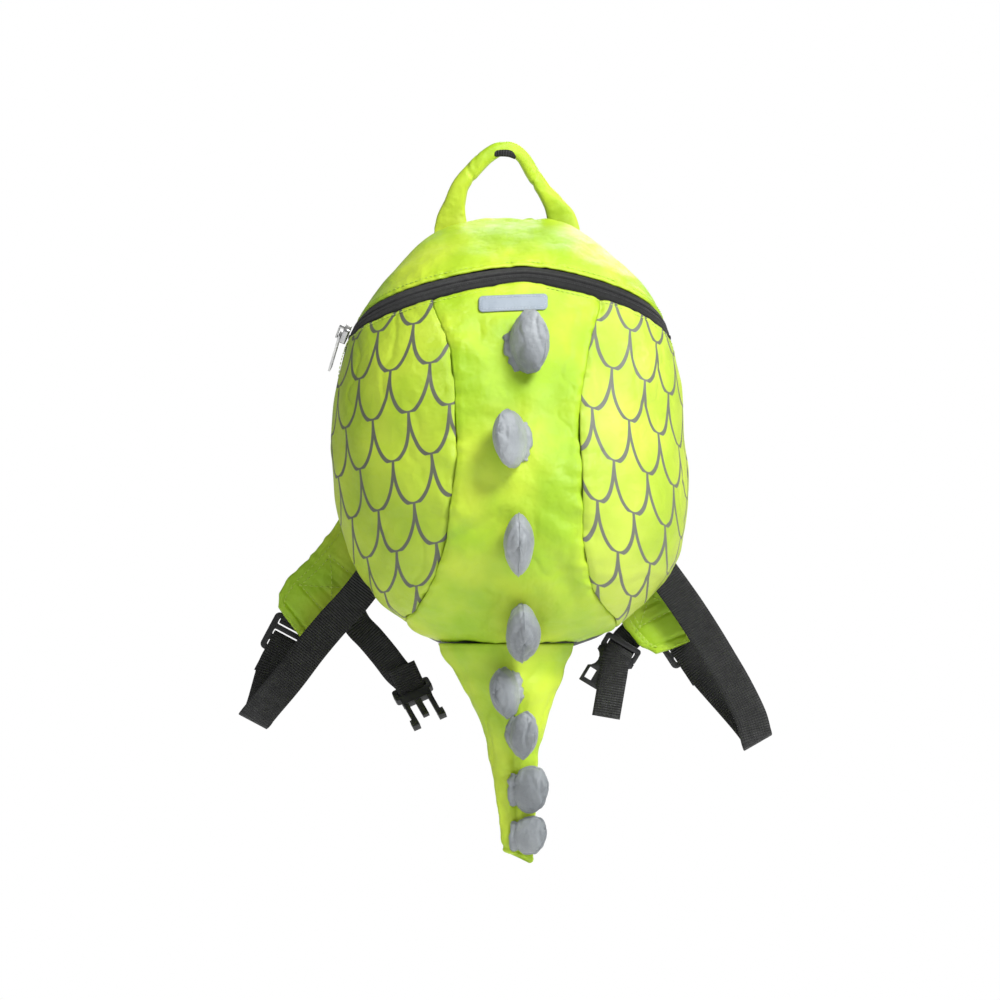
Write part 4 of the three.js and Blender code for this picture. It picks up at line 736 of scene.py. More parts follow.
def make_scale_print():
    """Rows of U-shaped lines, each between the bottoms of its two neighbours in the row above."""
    inputs = [
        ("Place", "Vector", None), ("Column", "Float", 25.6), ("Row", "Float", 27.25),
        ("Slope", "Float", -0.179), ("Start Across", "Float", -98.3), ("Start Down", "Float", 147.8),
    ]
    group, given, result = new_group("scale_print", inputs, [("Line", "Float")])
    split = group.nodes.new("ShaderNodeSeparateXYZ")
    group.links.new(given["Place"], split.inputs[0])

    def calc(operation, *values):
        return calculated(group, operation, *values)

    across = calc("SUBTRACT", calc("MULTIPLY", split.outputs[0], 1000.0), given["Start Across"])
    down = calc("SUBTRACT", calc("MULTIPLY", split.outputs[1], 1000.0), given["Start Down"])
    level = calc("SUBTRACT", down, calc("MULTIPLY", given["Slope"], across))
    level = calc("DIVIDE", level, given["Row"])
    row = calc("FLOOR", level)
    share = calc("SUBTRACT", level, row)
    odd = calc("FLOORED_MODULO", calc("ADD", row, 1.0), 2.0)
    place = calc("DIVIDE", across, given["Column"])
    place = calc("ADD", place, calc("MULTIPLY_ADD", odd, -0.5, 0.5))
    side = calc("SUBTRACT", place, calc("FLOOR", place))
    side = calc("MULTIPLY", calc("SUBTRACT", side, 0.5), 2.0)
    square = calc("ADD", calc("MULTIPLY", side, side), calc("MULTIPLY", share, share))
    half = calc("MULTIPLY", given["Column"], 0.5)
    by_side = calc("DIVIDE", side, half)
    by_share = calc("DIVIDE", share, given["Row"])
    steep = calc("ADD", calc("MULTIPLY", by_side, by_side), calc("MULTIPLY", by_share, by_share))
    steep = calc("MULTIPLY", calc("SQRT", steep), 2.0)
    away = calc("DIVIDE", calc("ABSOLUTE", calc("SUBTRACT", square, 1.0)), steep)
    thick = calc("MULTIPLY_ADD", share, 0.3, 0.95)
    group.links.new(eased(group, calc("SUBTRACT", away, thick), 0.22, -0.22), result["Line"])
    return group


cloth_weave, cloth_blotches = make_weave(), make_blotches()
strap_ribs, scale_print = make_ribs(), make_scale_print()


class Finish:
    """A material being made: its node tree, its shader and the place on the surface that patterns follow."""

    def __init__(self, name, roughness, on_cloth=True, metallic=0.0):
        self.material = bpy.data.materials.new(name)
        self.material.use_nodes = True
        self.tree = self.material.node_tree
        self.shader = self.tree.nodes["Principled BSDF"]
        self.set("Roughness", roughness)
        self.set("Metallic", metallic)
        coordinates = self.tree.nodes.new("ShaderNodeTexCoord")
        self.solid_place = coordinates.outputs["Object"]
        if on_cloth:
            cloth = self.tree.nodes.new("ShaderNodeUVMap")
            cloth.uv_map = "cloth"
            self.place = cloth.outputs["UV"]
        else:
            self.place = self.solid_place

    def group(self, tree, **values):
        node = self.tree.nodes.new("ShaderNodeGroup")
        node.node_tree = tree
        self.tree.links.new(values.pop("place", self.place), node.inputs["Place"])
        for label, value in values.items():
            node.inputs[label.replace("_", " ").title()].default_value = value
        return node.outputs

    def mixed(self, share, first, second):
        node = self.tree.nodes.new("ShaderNodeMix")
        node.data_type = "RGBA"
        self.tree.links.new(share, node.inputs["Factor"])
        fed(self.tree, node.inputs["A"], first)
        fed(self.tree, node.inputs["B"], second)
        return node.outputs["Result"]

    def set(self, socket, value):
        fed(self.tree, self.shader.inputs[socket], value)

    def bumps(self, *heights):
        """Bump nodes one after another, each with a height, its depth in metres and its strength."""
        last = None
        for height, depth, strength in heights:
            node = self.tree.nodes.new("ShaderNodeBump")
            node.inputs["Distance"].default_value = depth
            node.inputs["Strength"].default_value = strength
            self.tree.links.new(height, node.inputs["Height"])
            if last is not None:
                self.tree.links.new(last, node.inputs["Normal"])
            last = node.outputs["Normal"]
        self.tree.links.new(last, self.shader.inputs["Normal"])


def cloth_finish(name, light, dark, roughness, sheen, sheen_tint, print_values=None, wrinkle=0.009):
    made = Finish(name, roughness)
    tone = made.group(cloth_blotches, place=made.solid_place, size=0.055, wrinkle=wrinkle)
    weave = made.group(cloth_weave, pitch=0.0006)
    # Painted light and shade: the blotches mix the dark and the light colour, a shaded and a lit copy of one
    # cloth.
    share = eased(made.tree, tone["Light And Shade"], 0.35, 0.68)
    colour = made.mixed(share, dark, light)
    if print_values:
        line = made.group(scale_print, **print_values["lattice"])["Line"]
        colour = made.mixed(line, colour, print_values["colour"])
    # Painted shade in the weave: the colour goes up to 14 % of the way to the dark colour on the weave's
    # raised points.
    weave_shade = eased(made.tree, weave["Height"], -1.0, 1.0, 0.0, 0.14)
    colour = made.mixed(weave_shade, colour, dark)
    made.set("Base Color", colour)
    made.set("Roughness", eased(made.tree, tone["Wrinkles"], 0.3, 0.7, roughness - 0.06, roughness + 0.08))
    made.set("Sheen Weight", sheen)
    made.set("Sheen Roughness", 0.4)
    made.set("Sheen Tint", sheen_tint)
    made.bumps((tone["Wrinkles"], 0.0022, 0.5), (weave["Height"], 0.00012, 0.5))
    return made.material


# A lit and a shaded copy of the lime cloth, mixed in blotches: painted light and shade.
LIME_LIT, LIME_SHADED = (0.55, 0.70, 0.035, 1.0), (0.31, 0.52, 0.008, 1.0)
LIME_SURFACE = (0.38, 0.08, linear(225, 245, 120))
lime_cloth = cloth_finish("lime_cloth", LIME_LIT, LIME_SHADED, *LIME_SURFACE)


def printed_cloth(side, light, dark, ink, wide, high, rise, across, down):
    """A side panel's cloth, with its scales' width, height, rise and first place in millimetres."""
    lattice = {"column": wide, "row": high, "slope": rise / wide, "start_across": across, "start_down": down}
    values = {"lattice": lattice, "colour": linear(*ink)}
    return cloth_finish(f"printed_cloth_{side}", light, dark, *LIME_SURFACE, print_values=values)


# Both side panels are one printed cloth: the left one's darker colours and ink are painted shade, the right
# one's lighter colours are painted light.
printed_left = printed_cloth(
    "left", (0.48, 0.62, 0.035, 1.0), (0.32, 0.48, 0.012, 1.0), (78, 76, 80), 25.6, 27.25, -4.58, -98.3, 147.8
)
printed_right = printed_cloth(
    "right", (0.55, 0.68, 0.07, 1.0), (0.38, 0.54, 0.03, 1.0), (96, 94, 98), 24.0, 27.8, 7.47, 75.9, 117.5
)
grey_cloth = cloth_finish(
    "grey_satin", linear(158, 163, 167), linear(118, 123, 127), 0.34, 0.2, linear(220, 225, 235),
    wrinkle=0.0045,
)
label_cloth = cloth_finish(
    "label_cloth", linear(152, 162, 172), linear(138, 149, 160), 0.5, 0.1, linear(230, 235, 240)
)
binding_cloth = cloth_finish(
    "binding_cloth", linear(96, 98, 100), linear(78, 80, 82), 0.7, 0.1, linear(200, 200, 205)
)


def strap_finish(name, light, dark, pitch, roughness=0.62):
    made = Finish(name, roughness)
    ribs = made.group(strap_ribs, pitch=pitch)
    tone = made.group(cloth_blotches, place=made.solid_place, size=0.02, wrinkle=0.003)
    # Painted light and shade: the blotches mix the strap's dark and light colour.
    colour = made.mixed(eased(made.tree, tone["Light And Shade"], 0.35, 0.7), dark, light)
    # Painted shade: the rib grooves darken to 40 % of the dark colour.
    made.set("Base Color", made.mixed(ribs["Groove Shade"], colour, tuple(c * 0.4 for c in dark[:3]) + (1.0,)))
    made.set("Roughness", eased(made.tree, tone["Wrinkles"], 0.3, 0.7, roughness - 0.08, roughness + 0.1))
    made.set("Sheen Weight", 0.05)
    made.bumps((ribs["Height"], 0.0003, 0.7), (tone["Wrinkles"], 0.0005, 0.4))
    return made.material


webbing_finish = strap_finish("black_webbing", linear(27, 28, 29), linear(14, 15, 16), 0.0015, 0.7)
tape_finish = strap_finish("zip_tape", linear(20, 21, 22), linear(11, 12, 13), 0.0011, 0.75)
coil_finish = strap_finish("zip_coil", linear(18, 19, 20), linear(10, 11, 12), 0.0009, 0.6)


def mesh_finish():
    """Padded air mesh: small round holes in rows over a dark ground."""
    made = Finish("back_mesh", 0.8, on_cloth=False)
    holes = made.tree.nodes.new("ShaderNodeTexVoronoi")
    holes.inputs["Scale"].default_value = 420
    holes.inputs["Randomness"].default_value = 0.15
    made.tree.links.new(made.place, holes.inputs["Vector"])
    hole = eased(made.tree, holes.outputs["Distance"], 0.42, 0.22)
    made.set("Base Color", made.mixed(hole, linear(62, 65, 68), linear(22, 23, 25)))
    made.set("Sheen Weight", 0.2)
    made.bumps((calculated(made.tree, "SUBTRACT", 1.0, hole), 0.0009, 0.8))
    return made.material


def hard_finish(name, light, dark, low, high, metallic=0.0, grain=900.0):
    made = Finish(name, low, on_cloth=False, metallic=metallic)
    grains = noise_at(made.tree, made.place, grain, 3.0)
    smears = noise_at(made.tree, made.place, 60.0, 3.0)
    made.set("Base Color", made.mixed(eased(made.tree, smears, 0.35, 0.65), dark, light))
    made.set("Roughness", eased(made.tree, smears, 0.3, 0.7, low, high))
    made.bumps((grains, 0.00008, 0.35))
    return made.material


def thread_finish(name, light, dark):
    made = Finish(name, 0.6, on_cloth=False)
    twist = noise_at(made.tree, made.place, 2600.0, 1.0)
    made.set("Base Color", made.mixed(eased(made.tree, twist, 0.35, 0.65), dark, light))
    made.set("Sheen Weight", 0.2)
    made.bumps((twist, 0.0001, 0.5))
    return made.material


back_mesh = mesh_finish()
black_plastic = hard_finish("black_plastic", linear(34, 35, 37), linear(24, 25, 27), 0.3, 0.42)
zip_metal = hard_finish("zip_metal", linear(214, 214, 212), linear(178, 179, 180), 0.16, 0.32, 1.0, 500.0)
lime_thread = thread_finish("lime_thread", linear(190, 214, 84), linear(150, 176, 52))
black_thread = thread_finish("black_thread", linear(58, 59, 62), linear(30, 31, 33))
pale_thread = thread_finish("pale_thread", linear(196, 204, 210), linear(150, 160, 168))

# Floor

FLOOR_LEVEL, FLOOR_REACH, FLOOR_BACK = -620, 5000, 2700
floor_corners = [(-1, -FLOOR_REACH), (1, -FLOOR_REACH), (1, FLOOR_BACK), (-1, FLOOR_BACK)]
floor = new_mesh("floor", [(side * FLOOR_REACH, y, FLOOR_LEVEL) for side, y in floor_corners], [(0, 1, 2, 3)])
floor_finish = Finish("floor", 0.7, on_cloth=False)
floor_tone = noise_at(floor_finish.tree, floor_finish.place, 3.0)
floor_finish.set("Base Color", floor_finish.mixed(floor_tone, linear(244, 244, 244), linear(250, 250, 250)))
floor.data.materials.append(floor_finish.material)

# Stitches


def make_stitch_tree():
    """Small thread pieces along lines, all of one length and spacing."""
    tree = bpy.data.node_groups.new("stitch_row", "GeometryNodeTree")
    tree.interface.new_socket("Lines", in_out="INPUT", socket_type="NodeSocketGeometry")
    for label in ("Spacing", "Length", "Thickness"):
        tree.interface.new_socket(label, in_out="INPUT", socket_type="NodeSocketFloat")
    tree.interface.new_socket("Thread", in_out="INPUT", socket_type="NodeSocketMaterial")
    tree.interface.new_socket("Stitches", in_out="OUTPUT", socket_type="NodeSocketGeometry")

    def node(kind, **links):
        new = tree.nodes.new(kind)
        for label, source in links.items():
            socket = next(s for s in new.inputs if s.name == label.replace("_", " ") and s.enabled)
            tree.links.new(source, socket)
        return new

    given = tree.nodes.new("NodeGroupInput").outputs
    curve = node("GeometryNodeMeshToCurve", Mesh=given["Lines"])
    spread = node("GeometryNodeResampleCurve", Curve=curve.outputs[0])
    spread.mode = "LENGTH"
    tree.links.new(given["Spacing"], next(s for s in spread.inputs if s.name == "Length"))
    tangent = tree.nodes.new("GeometryNodeInputTangent").outputs[0]
    turn = tree.nodes.new("FunctionNodeAlignRotationToVector")
    turn.axis = "Z"
    tree.links.new(tangent, turn.inputs["Vector"])
    bead = tree.nodes.new("GeometryNodeMeshUVSphere")
    bead.inputs["Segments"].default_value = 6
    bead.inputs["Rings"].default_value = 4
    bead.inputs["Radius"].default_value = 0.5
    size = tree.nodes.new("ShaderNodeCombineXYZ")
    for axis, label in zip("XYZ", ("Thickness", "Thickness", "Length")):
        tree.links.new(given[label], size.inputs[axis])
    placed = node("GeometryNodeInstanceOnPoints", Points=spread.outputs[0], Instance=bead.outputs["Mesh"])
    tree.links.new(turn.outputs[0], placed.inputs["Rotation"])
    tree.links.new(size.outputs[0], placed.inputs["Scale"])
    real = node("GeometryNodeRealizeInstances", Geometry=placed.outputs[0])
    smooth = node("GeometryNodeSetShadeSmooth", Geometry=real.outputs[0])
    dressed = node("GeometryNodeSetMaterial", Geometry=smooth.outputs[0])
    tree.links.new(given["Thread"], dressed.inputs["Material"])
    leave = tree.nodes.new("NodeGroupOutput")
    tree.links.new(dressed.outputs[0], leave.inputs[0])
    return tree


stitch_tree = make_stitch_tree()


def stitched(name, lines, thread, spacing=3.0, length=2.3, thickness=0.55):
    """One piece of all the stitches along several lines of points."""
    points = np.vstack(lines)
    edges, start = [], 0
    for line in lines:
        edges += [(start + i, start + i + 1) for i in range(len(line) - 1)]
        start += len(line)
    mesh = bpy.data.meshes.new(name)
    mesh.from_pydata((points * 0.001).tolist(), edges, [])
    piece = bpy.data.objects.new(name, mesh)
    scene.collection.objects.link(piece)
    rows = piece.modifiers.new("stitches", "NODES")
    rows.node_group = stitch_tree
    values = {"Spacing": spacing * 0.001, "Length": length * 0.001, "Thickness": thickness * 0.001}
    values["Thread"] = thread
    for item in stitch_tree.interface.items_tree:
        if item.in_out == "INPUT" and item.name in values:
            rows[item.identifier] = values[item.name]
    made_plain(piece)
    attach(piece, "bag")
    return piece


def edge_distances(grid):
    """Distances from a grid's first and last column and first and last row, in millimetres."""
    across = np.linalg.norm(np.diff(grid, axis=1), axis=-1)
    across = np.hstack([np.zeros((len(grid), 1)), np.cumsum(across, axis=1)])
    along = np.linalg.norm(np.diff(grid, axis=0), axis=-1)
    along = np.vstack([np.zeros((1, grid.shape[1])), np.cumsum(along, axis=0)])
    return across, across[:, -1:] - across, along, along[-1:] - along


# In the reliefs below, heights and distances are in millimetres and the whole numbers at the end are seeds.


def seam_relief(away, along, seed, deep=1.2, wide=2.4, pucker=0.95):
    """A seam's valley and the puckers that run out from it."""
    folds = noise(along / 4.6, away / 16, seed) * np.exp(-away / 7.5)
    folds = folds + 0.5 * noise(along / 9, away / 24 + 7, seed + 1) * np.exp(-away / 16)
    return -deep * np.exp(-((away / wide) ** 2)) + pucker * folds


def hem_relief(away, along, seed):
    """A turned hem: a rounded edge, a row of stitches in a groove and soft puckers."""
    edge = -1.1 * np.exp(-((away / 0.8) ** 2))
    groove = -0.45 * np.exp(-(((away - 3.2) / 0.75) ** 2))
    folds = 0.45 * noise(along / 3.6, away / 14, seed) * np.exp(-np.abs(away - 2) / 6)
    return edge + groove + folds


# Panels


def hung_panel(name, start, end, rows, cols, below, finish, seed, seams):
    """A panel that hangs from the zip: seams is which of its left and right edges are sewn to a neighbour."""
    turn, down = hanging_places(start, end, rows, cols, below)
    plain = plain_skin(turn, down)
    left, right, top, bottom = edge_distances(plain)
    u, v = cloth_place(turn, down)
    relief = 1.3 * noise(u / 34 + 3, v / 38, seed) + 0.6 * noise(u / 14, v / 17, seed + 1)
    relief = relief + 0.6 * crease(u / 23 + 0.3 * noise(v / 12, u / 12, seed), v / 36, seed + 2)
    for away, sewn in ((left, seams[0]), (right, seams[1])):
        relief = relief + (seam_relief(away, v, seed + 3) if sewn else -0.8 * np.exp(-((away / 1.5) ** 2)))
    relief = relief + hem_relief(top, u, seed + 5)
    if below:
        relief = relief + seam_relief(bottom, u, seed + 6, 0.35, 2.0, 0.5)
        label_side = (plain[..., 0] - LABEL_SHIFT) / 25
        label_up = (plain[..., 2] + TOP_DROP + LABEL_DROP) / 9
        relief = relief * (1 - np.exp(-(label_side**6) - label_up**6))
    outer = skin(turn, down, relief)
    piece = wall(name + "_cloth", outer, np.stack([u, v], -1), CLOTH, finish)
    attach(piece, "bag")
    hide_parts(name)


hung_panel(
    "centre_panel", seam_side(seam_left, -1, 1), seam_side(seam_right, 1, -1),
    190, 70, 10, lime_cloth, 11, (True, True),
)
hung_panel(
    "side_panel_left", lambda down: np.full(np.shape(down), -RIM), seam_side(seam_left, -1, -1),
    170, 150, 0, printed_left, 23, (False, True),
)
hung_panel(
    "side_panel_right", seam_side(seam_right, 1, 1), lambda down: np.full(np.shape(down), RIM),
    170, 150, 0, printed_right, 37, (True, False),
)

SHOULDER_DOWN = float(np.interp(QUARTER, upper_hem[1], upper_hem[2]))
SHOULDER_MIDDLE = plain_skin(0, SHOULDER_DOWN)


def crown_line():
    """The silhouette above the shoulder, in the front view, from the left over the top to the right."""
    downs = SHOULDER_DOWN * (np.arange(160) / 159) ** 1.8
    sides = []
    for sign in (-1, 1):
        line = plain_skin(sign * QUARTER, downs)
        line[:, 1] = 0
        sides.append(line)
    return np.vstack([sides[0][::-1], sides[1]])


def place_shown(x, z):
    down = np.maximum((-TOP_DROP - z) / BODY_HEIGHT, 0)
    share = (x - BODY_CENTRE - lean_at(down) * BODY_HALF) / (half_at(down) * BODY_HALF)
    return np.arcsin(np.clip(share, -1, 1)) / (math.pi / 2) * QUARTER, down


def crown_column(edge, turn, rows):
    """From the rim round the silhouette and down the front to the zip's upper hem."""
    tuck = TUCK_DEPTH * deep_at((-TOP_DROP - edge[2]) / BODY_HEIGHT) * BODY_DEPTH
    behind = 1 - np.arange(16) / 16
    drawn = 1 - TUCK_IN * behind**2
    x = SHOULDER_MIDDLE[0] + (edge[0] - SHOULDER_MIDDLE[0]) * drawn
    z = SHOULDER_MIDDLE[2] + (edge[2] - SHOULDER_MIDDLE[2]) * drawn
    back = np.stack([x, SEAT_Y - tuck * (1 - behind), z], 1)
    hem = plain_skin(turn, np.interp(turn, upper_hem[1], upper_hem[2]))
    share = 1 - np.cos(np.linspace(0, 1, 50) * math.pi / 2)
    t, d = place_shown(edge[0] + (hem[0] - edge[0]) * share, edge[2] + (hem[2] - edge[2]) * share)
    return spaced(np.vstack([back, plain_skin(t, d)]), rows)


def flank_column(sign, down, rows):
    behind = upper_hem[1] * sign > QUARTER - 0.05
    levels, turns = upper_hem[2][behind], upper_hem[1][behind]
    if sign < 0:
        levels, turns = levels[::-1], turns[::-1]
    hem = np.interp(down, levels, turns)
    return plain_skin(sign * RIM + (hem - sign * RIM) * np.linspace(0, 1, rows), down)


def make_top_panel():
    rows, crown_cols, flank_cols = 90, 230, 26
    crown = spaced(crown_line(), crown_cols)
    ends = [np.interp(sign * RIM, upper_hem[1], upper_hem[2]) - 0.012 for sign in (-1, 1)]
    steps = np.arange(flank_cols) / flank_cols
    columns = [flank_column(-1, ends[0] + (SHOULDER_DOWN - ends[0]) * s, rows) for s in steps]
    turns = np.linspace(-QUARTER, QUARTER, crown_cols)
    columns += [crown_column(edge, turn, rows) for edge, turn in zip(crown, turns)]
    columns += [flank_column(1, ends[1] + (SHOULDER_DOWN - ends[1]) * s, rows) for s in steps[::-1]]
    grid = np.array(columns).transpose(1, 0, 2)
    middle = np.array([BODY_CENTRE, -BODY_DEPTH / 3, -TOP_DROP - 0.4 * BODY_HEIGHT])
    normal = grid_normals(grid)
    normal = np.where(((grid - middle) * normal).sum(-1, keepdims=True) < 0, -normal, normal)
    across, _, from_rim, from_hem = edge_distances(grid)
    along = across[-1:] + 0 * from_hem
    x, y, z = grid[..., 0], grid[..., 1], grid[..., 2]
    relief = 1.2 * noise(x / 34, (z + y) / 30, 51) + 0.6 * noise(x / 13, (z + y) / 14, 52)
    relief = relief * np.clip(from_hem / 10, 0.3, 1) + hem_relief(from_hem, along, 53)
    relief = relief + seam_relief(from_rim, x + y, 54, 0.8, 2, 0.5)
    outer = grid + normal * relief[..., None]
    piece = wall("top_panel_cloth", outer, np.stack([x, from_rim], -1), CLOTH, lime_cloth, middle)
    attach(piece, "bag")
    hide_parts("top_panel")


make_top_panel()

# Zip


def zip_rows(offsets, lifts, count=420):
    """Rows of points along the zip, each at its own offset beside it and lift off the skin."""
    rows = []
    for offset, lift in zip(offsets, lifts):
        turn, down = zip_places(offset, count)
        rows.append(skin(turn, down, lift))
    return np.array(rows)


TAPE_LIFT = -CLOTH - 0.9


def zip_strip(name, offsets, lifts, thickness, finish):
    grid = zip_rows(offsets, lifts)
    along = edge_distances(grid)[0]
    uv = np.stack([np.broadcast_to(np.asarray(offsets)[:, None], along.shape), along], -1)
    piece = wall(name + "_strip", grid, uv, thickness, finish)
    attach(piece, "bag")
    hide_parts(name)


upper_offsets = np.concatenate([[0.3, 0.55], np.linspace(0.9, 11.3, 22)])
shown = 1 / (1 + np.exp((upper_offsets - ZIP_SHOWING / 2 + 0.6) / 0.35))
upper_lifts = TAPE_LIFT + 1.7 * shown + 0.5 * np.exp(-(((upper_offsets - 1.5) / 1.4) ** 2))
upper_lifts = upper_lifts - 1.0 * np.exp(-((upper_offsets / 0.5) ** 2))
zip_strip("zip_tape_upper", upper_offsets[::-1], upper_lifts[::-1], 1.0, tape_finish)
zip_strip("zip_tape_lower", -upper_offsets, upper_lifts, 1.0, tape_finish)
coil_offsets = np.linspace(-1.1, 1.1, 7)
coil_lifts = TAPE_LIFT + 1.75 - 0.5 * np.abs(coil_offsets) - 0.25 * np.exp(-((coil_offsets / 0.3) ** 2))
zip_strip("zip_coil", coil_offsets, coil_lifts, 0.8, coil_finish)

coil_lines = zip_rows([-2.5, 2.5], [TAPE_LIFT + 2.1] * 2)
stitched("zip_coil_stitches", coil_lines, black_thread, 1.5, 1.1, 0.45)

# One row of stitches in each panel's hem groove holds the tapes.
HEM_STITCHES = ZIP_SHOWING / 2 + 3.2
hem_lines = zip_rows([HEM_STITCHES, -HEM_STITCHES], [-0.25] * 2)
stitched("zip_hem_stitches", hem_lines, lime_thread, 3.1, 2.4, 0.6)

# Tail

tail_half, tail_lean, tail_front, tail_back = (column(TAIL_ROWS, i) for i in (1, 2, 3, 4))
TAIL_RIDGE, TAIL_WAIST = 1.25, 0.45


def tail_skin(share, turn, lift=0):
    """The tail's skin at a share of its length and a turn round it from the front ridge."""
    share, turn, lift = np.broadcast_arrays(*(np.asarray(value, float) for value in (share, turn, lift)))
    front = -tail_front(share) * TAIL_DEPTH - lift
    back = -tail_back(share) * TAIL_DEPTH + lift
    waist = front + (back - front) * TAIL_WAIST
    c, s = np.cos(turn), np.sin(turn)
    half = tail_half(share) * TAIL_HALF + lift
    ahead = waist + (front - waist) * np.maximum(c, 0) ** TAIL_RIDGE
    behind = waist + (back - waist) * np.maximum(-c, 0) ** 0.7
    y = np.where(c > 0, ahead, behind)
    slant = share * share * s * TAIL_SLANT / 2
    x = BODY_CENTRE + tail_lean(share) * TAIL_HALF + half * s
    return np.stack([x, SEAT_Y + y, TAIL_TOP - share * TAIL_LENGTH - slant], -1)


def moved_out(piece, height):
    """Moves each point of a piece along its own normal by a height in millimetres."""
    normals = vertex_values(piece.data, "normal")
    points = vertex_values(piece.data) + normals * (np.asarray(height) * 0.001)[:, None]
    piece.data.vertices.foreach_set("co", points.ravel())
    piece.data.update()


def soft_piece(piece, node):
    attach(piece, "bag")
    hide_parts(node)


def make_tail():
    rows, sides = 100, 110
    share = np.concatenate([np.linspace(0, 0.985, rows - 4), [0.991, 0.996, 1, 1]])[:, None]
    turn = np.linspace(0, 2 * math.pi, sides, endpoint=False)[None, :]
    inset = np.concatenate([np.zeros(rows - 4), [-0.3, -0.8, -1.6, -2.6]])[:, None]
    rings = tail_skin(share, turn, inset - 0.8 * np.minimum(1, share * 12))
    rings[0, :, 2] += SEAM_GAP - 0.05
    half = tail_half(share) * TAIL_HALF
    side = np.minimum(turn, 2 * math.pi - turn)
    along = np.broadcast_to(share * TAIL_LENGTH, rings.shape[:2])
    uv = np.stack([side * half, along], -1)
    piece = loft("tail_cloth", rings, uv, lime_cloth)
    held = np.zeros(rows * sides + 2)
    held[:sides] = 1
    held[-2:] = 1
    held[(rows - 3) * sides : rows * sides] = 1
    puffed(piece, held, 3.0, 0.004)
    signed = np.where(turn <= math.pi, turn, turn - 2 * math.pi)
    from_ridge = np.abs(signed) * half * 1.05
    from_side = np.abs(np.abs(signed) - math.pi / 2) * half * 1.1
    relief = seam_relief(from_ridge, along, 71, 1.7, 2.3, 1.1)
    relief = relief + seam_relief(from_side, along, 75, 1.0, 2, 0.7)
    relief = relief + 1.1 * noise(signed * 1.7 + 4, along / 17, 77)
    relief = relief + 0.8 * crease(along / 15 + 0.6 * signed, signed * 1.6, 78)
    relief = relief * np.minimum(1, along / 6) - 0.3 * np.exp(-(((along - 1.5) / 1.2) ** 2))
    relief = relief - 0.9 * np.exp(-(((TAIL_LENGTH - along - 4) / 1.2) ** 2))
    moved_out(piece, np.concatenate([relief.ravel(), [0, 0]]))
    soft_piece(piece, "tail")


make_tail()

# Fins

fin_long, fin_thick, fin_sweep = (column(FIN_ROWS, i) for i in (1, 2, 3))
FIN_SINK = 3.5


def turned(vector, axis, degrees):
    angle = math.radians(degrees)
    c, s = math.cos(angle), math.sin(angle)
    return vector * c + np.cross(axis, vector) * s + axis * np.dot(axis, vector) * (1 - c)


def fin_frame(row):
    on, turn, at = row[:3]
    if on == "bag":
        _, by_down, normal = skin_frame(np.array(turn), np.array(at))
        return skin(np.array(turn), np.array(at)), unit(by_down), normal
    p = tail_skin(at, turn)
    along = unit(tail_skin(at + 0.02, turn) - tail_skin(at - 0.02, turn))
    return p, along, unit(np.cross(along, np.array([1.0, 0, 0])))


def make_fin(number, row):
    _, _, _, long, high, thick, lean, tilt = row
    p, along, normal = fin_frame(row)
    if normal[1] > 0:
        normal = -normal
    length = turned(along, normal, tilt)
    out = turned(normal, length, -lean)
    side = np.cross(length, out)
    rows, sides = 44, 64
    height = FIN_HEIGHT * high
    shares = np.concatenate([[-FIN_SINK / height, -0.06], np.linspace(0, 1, rows - 4) ** 0.9, [1.0, 1.0]])
    angle = (np.arange(sides) + 0.5) * 2 * math.pi / sides
    c, s = np.cos(angle), np.sin(angle)
    lens = np.sign(s) * np.abs(s) ** 1.35
    rings = []
    for i, share in enumerate(shares):
        at = max(share, 0)
        half_long = float(fin_long(at)) * long * FIN_LENGTH / 2
        half_thick = float(fin_thick(at)) * thick * FIN_THICKNESS / 2
        shrink = {rows - 2: 0.6, rows - 1: 0.2}.get(i, 1)
        middle = p + out * share * height - length * float(fin_sweep(at)) * FIN_LENGTH
        ring = middle + np.outer(c * half_long * shrink, length)
        rings.append(ring + np.outer(lens * half_thick * shrink, side))
    rings = np.array(rings)
    girth = np.linalg.norm(np.diff(rings[6], axis=0), axis=1).sum()
    uv = np.stack(np.broadcast_arrays(angle[None] / (2 * math.pi) * girth, shares[:, None] * height), -1)
    piece = loft(f"spike_{number}_cloth", rings, uv, grey_cloth)
    held = np.zeros(rows * sides + 2)
    held[: 3 * sides] = 1
    held[-1] = 1
    puffed(piece, held, 3.0, 0.0016)
    from_end = np.abs(((angle + math.pi / 2) % math.pi) - math.pi / 2)[None, :] * girth / (2 * math.pi)
    up = (shares * height)[:, None]
    from_end, up = np.broadcast_arrays(from_end, up)
    from_crest = height - up
    edge = np.minimum(from_end, from_crest)
    seed = 100 + 10 * number
    relief = -0.7 * np.exp(-(((edge - 2.4) / 0.9) ** 2))
    relief = relief + 0.45 * noise(up / 2.6, from_end / 9, seed) * np.exp(-edge / 6)
    round_place = angle[None] / (2 * math.pi) * girth
    relief = relief + 0.6 * crease(round_place / 10, up / 11 + 0.05 * round_place, seed + 1)
    relief = relief + 0.5 * noise(round_place / 10, up / 8, seed + 2)
    relief = relief - 0.9 * np.exp(-(((up - 0.4) / 1.1) ** 2))
    relief = relief + 0.5 * noise(round_place / 2.4, up / 6, seed + 3) * np.exp(-up / 4)
    moved_out(piece, np.concatenate([relief.ravel(), [0, 0]]))
    soft_piece(piece, f"spike_{number}")


for number, row in enumerate(FIN_PLACES, 1):
    make_fin(number, row)

# Label


def label_places(x, z):
    """Skin places for points of the label, measured from its middle."""
    return place_shown(LABEL_SHIFT + x, -TOP_DROP - LABEL_DROP + z + x * math.tan(math.radians(LABEL_SLANT)))


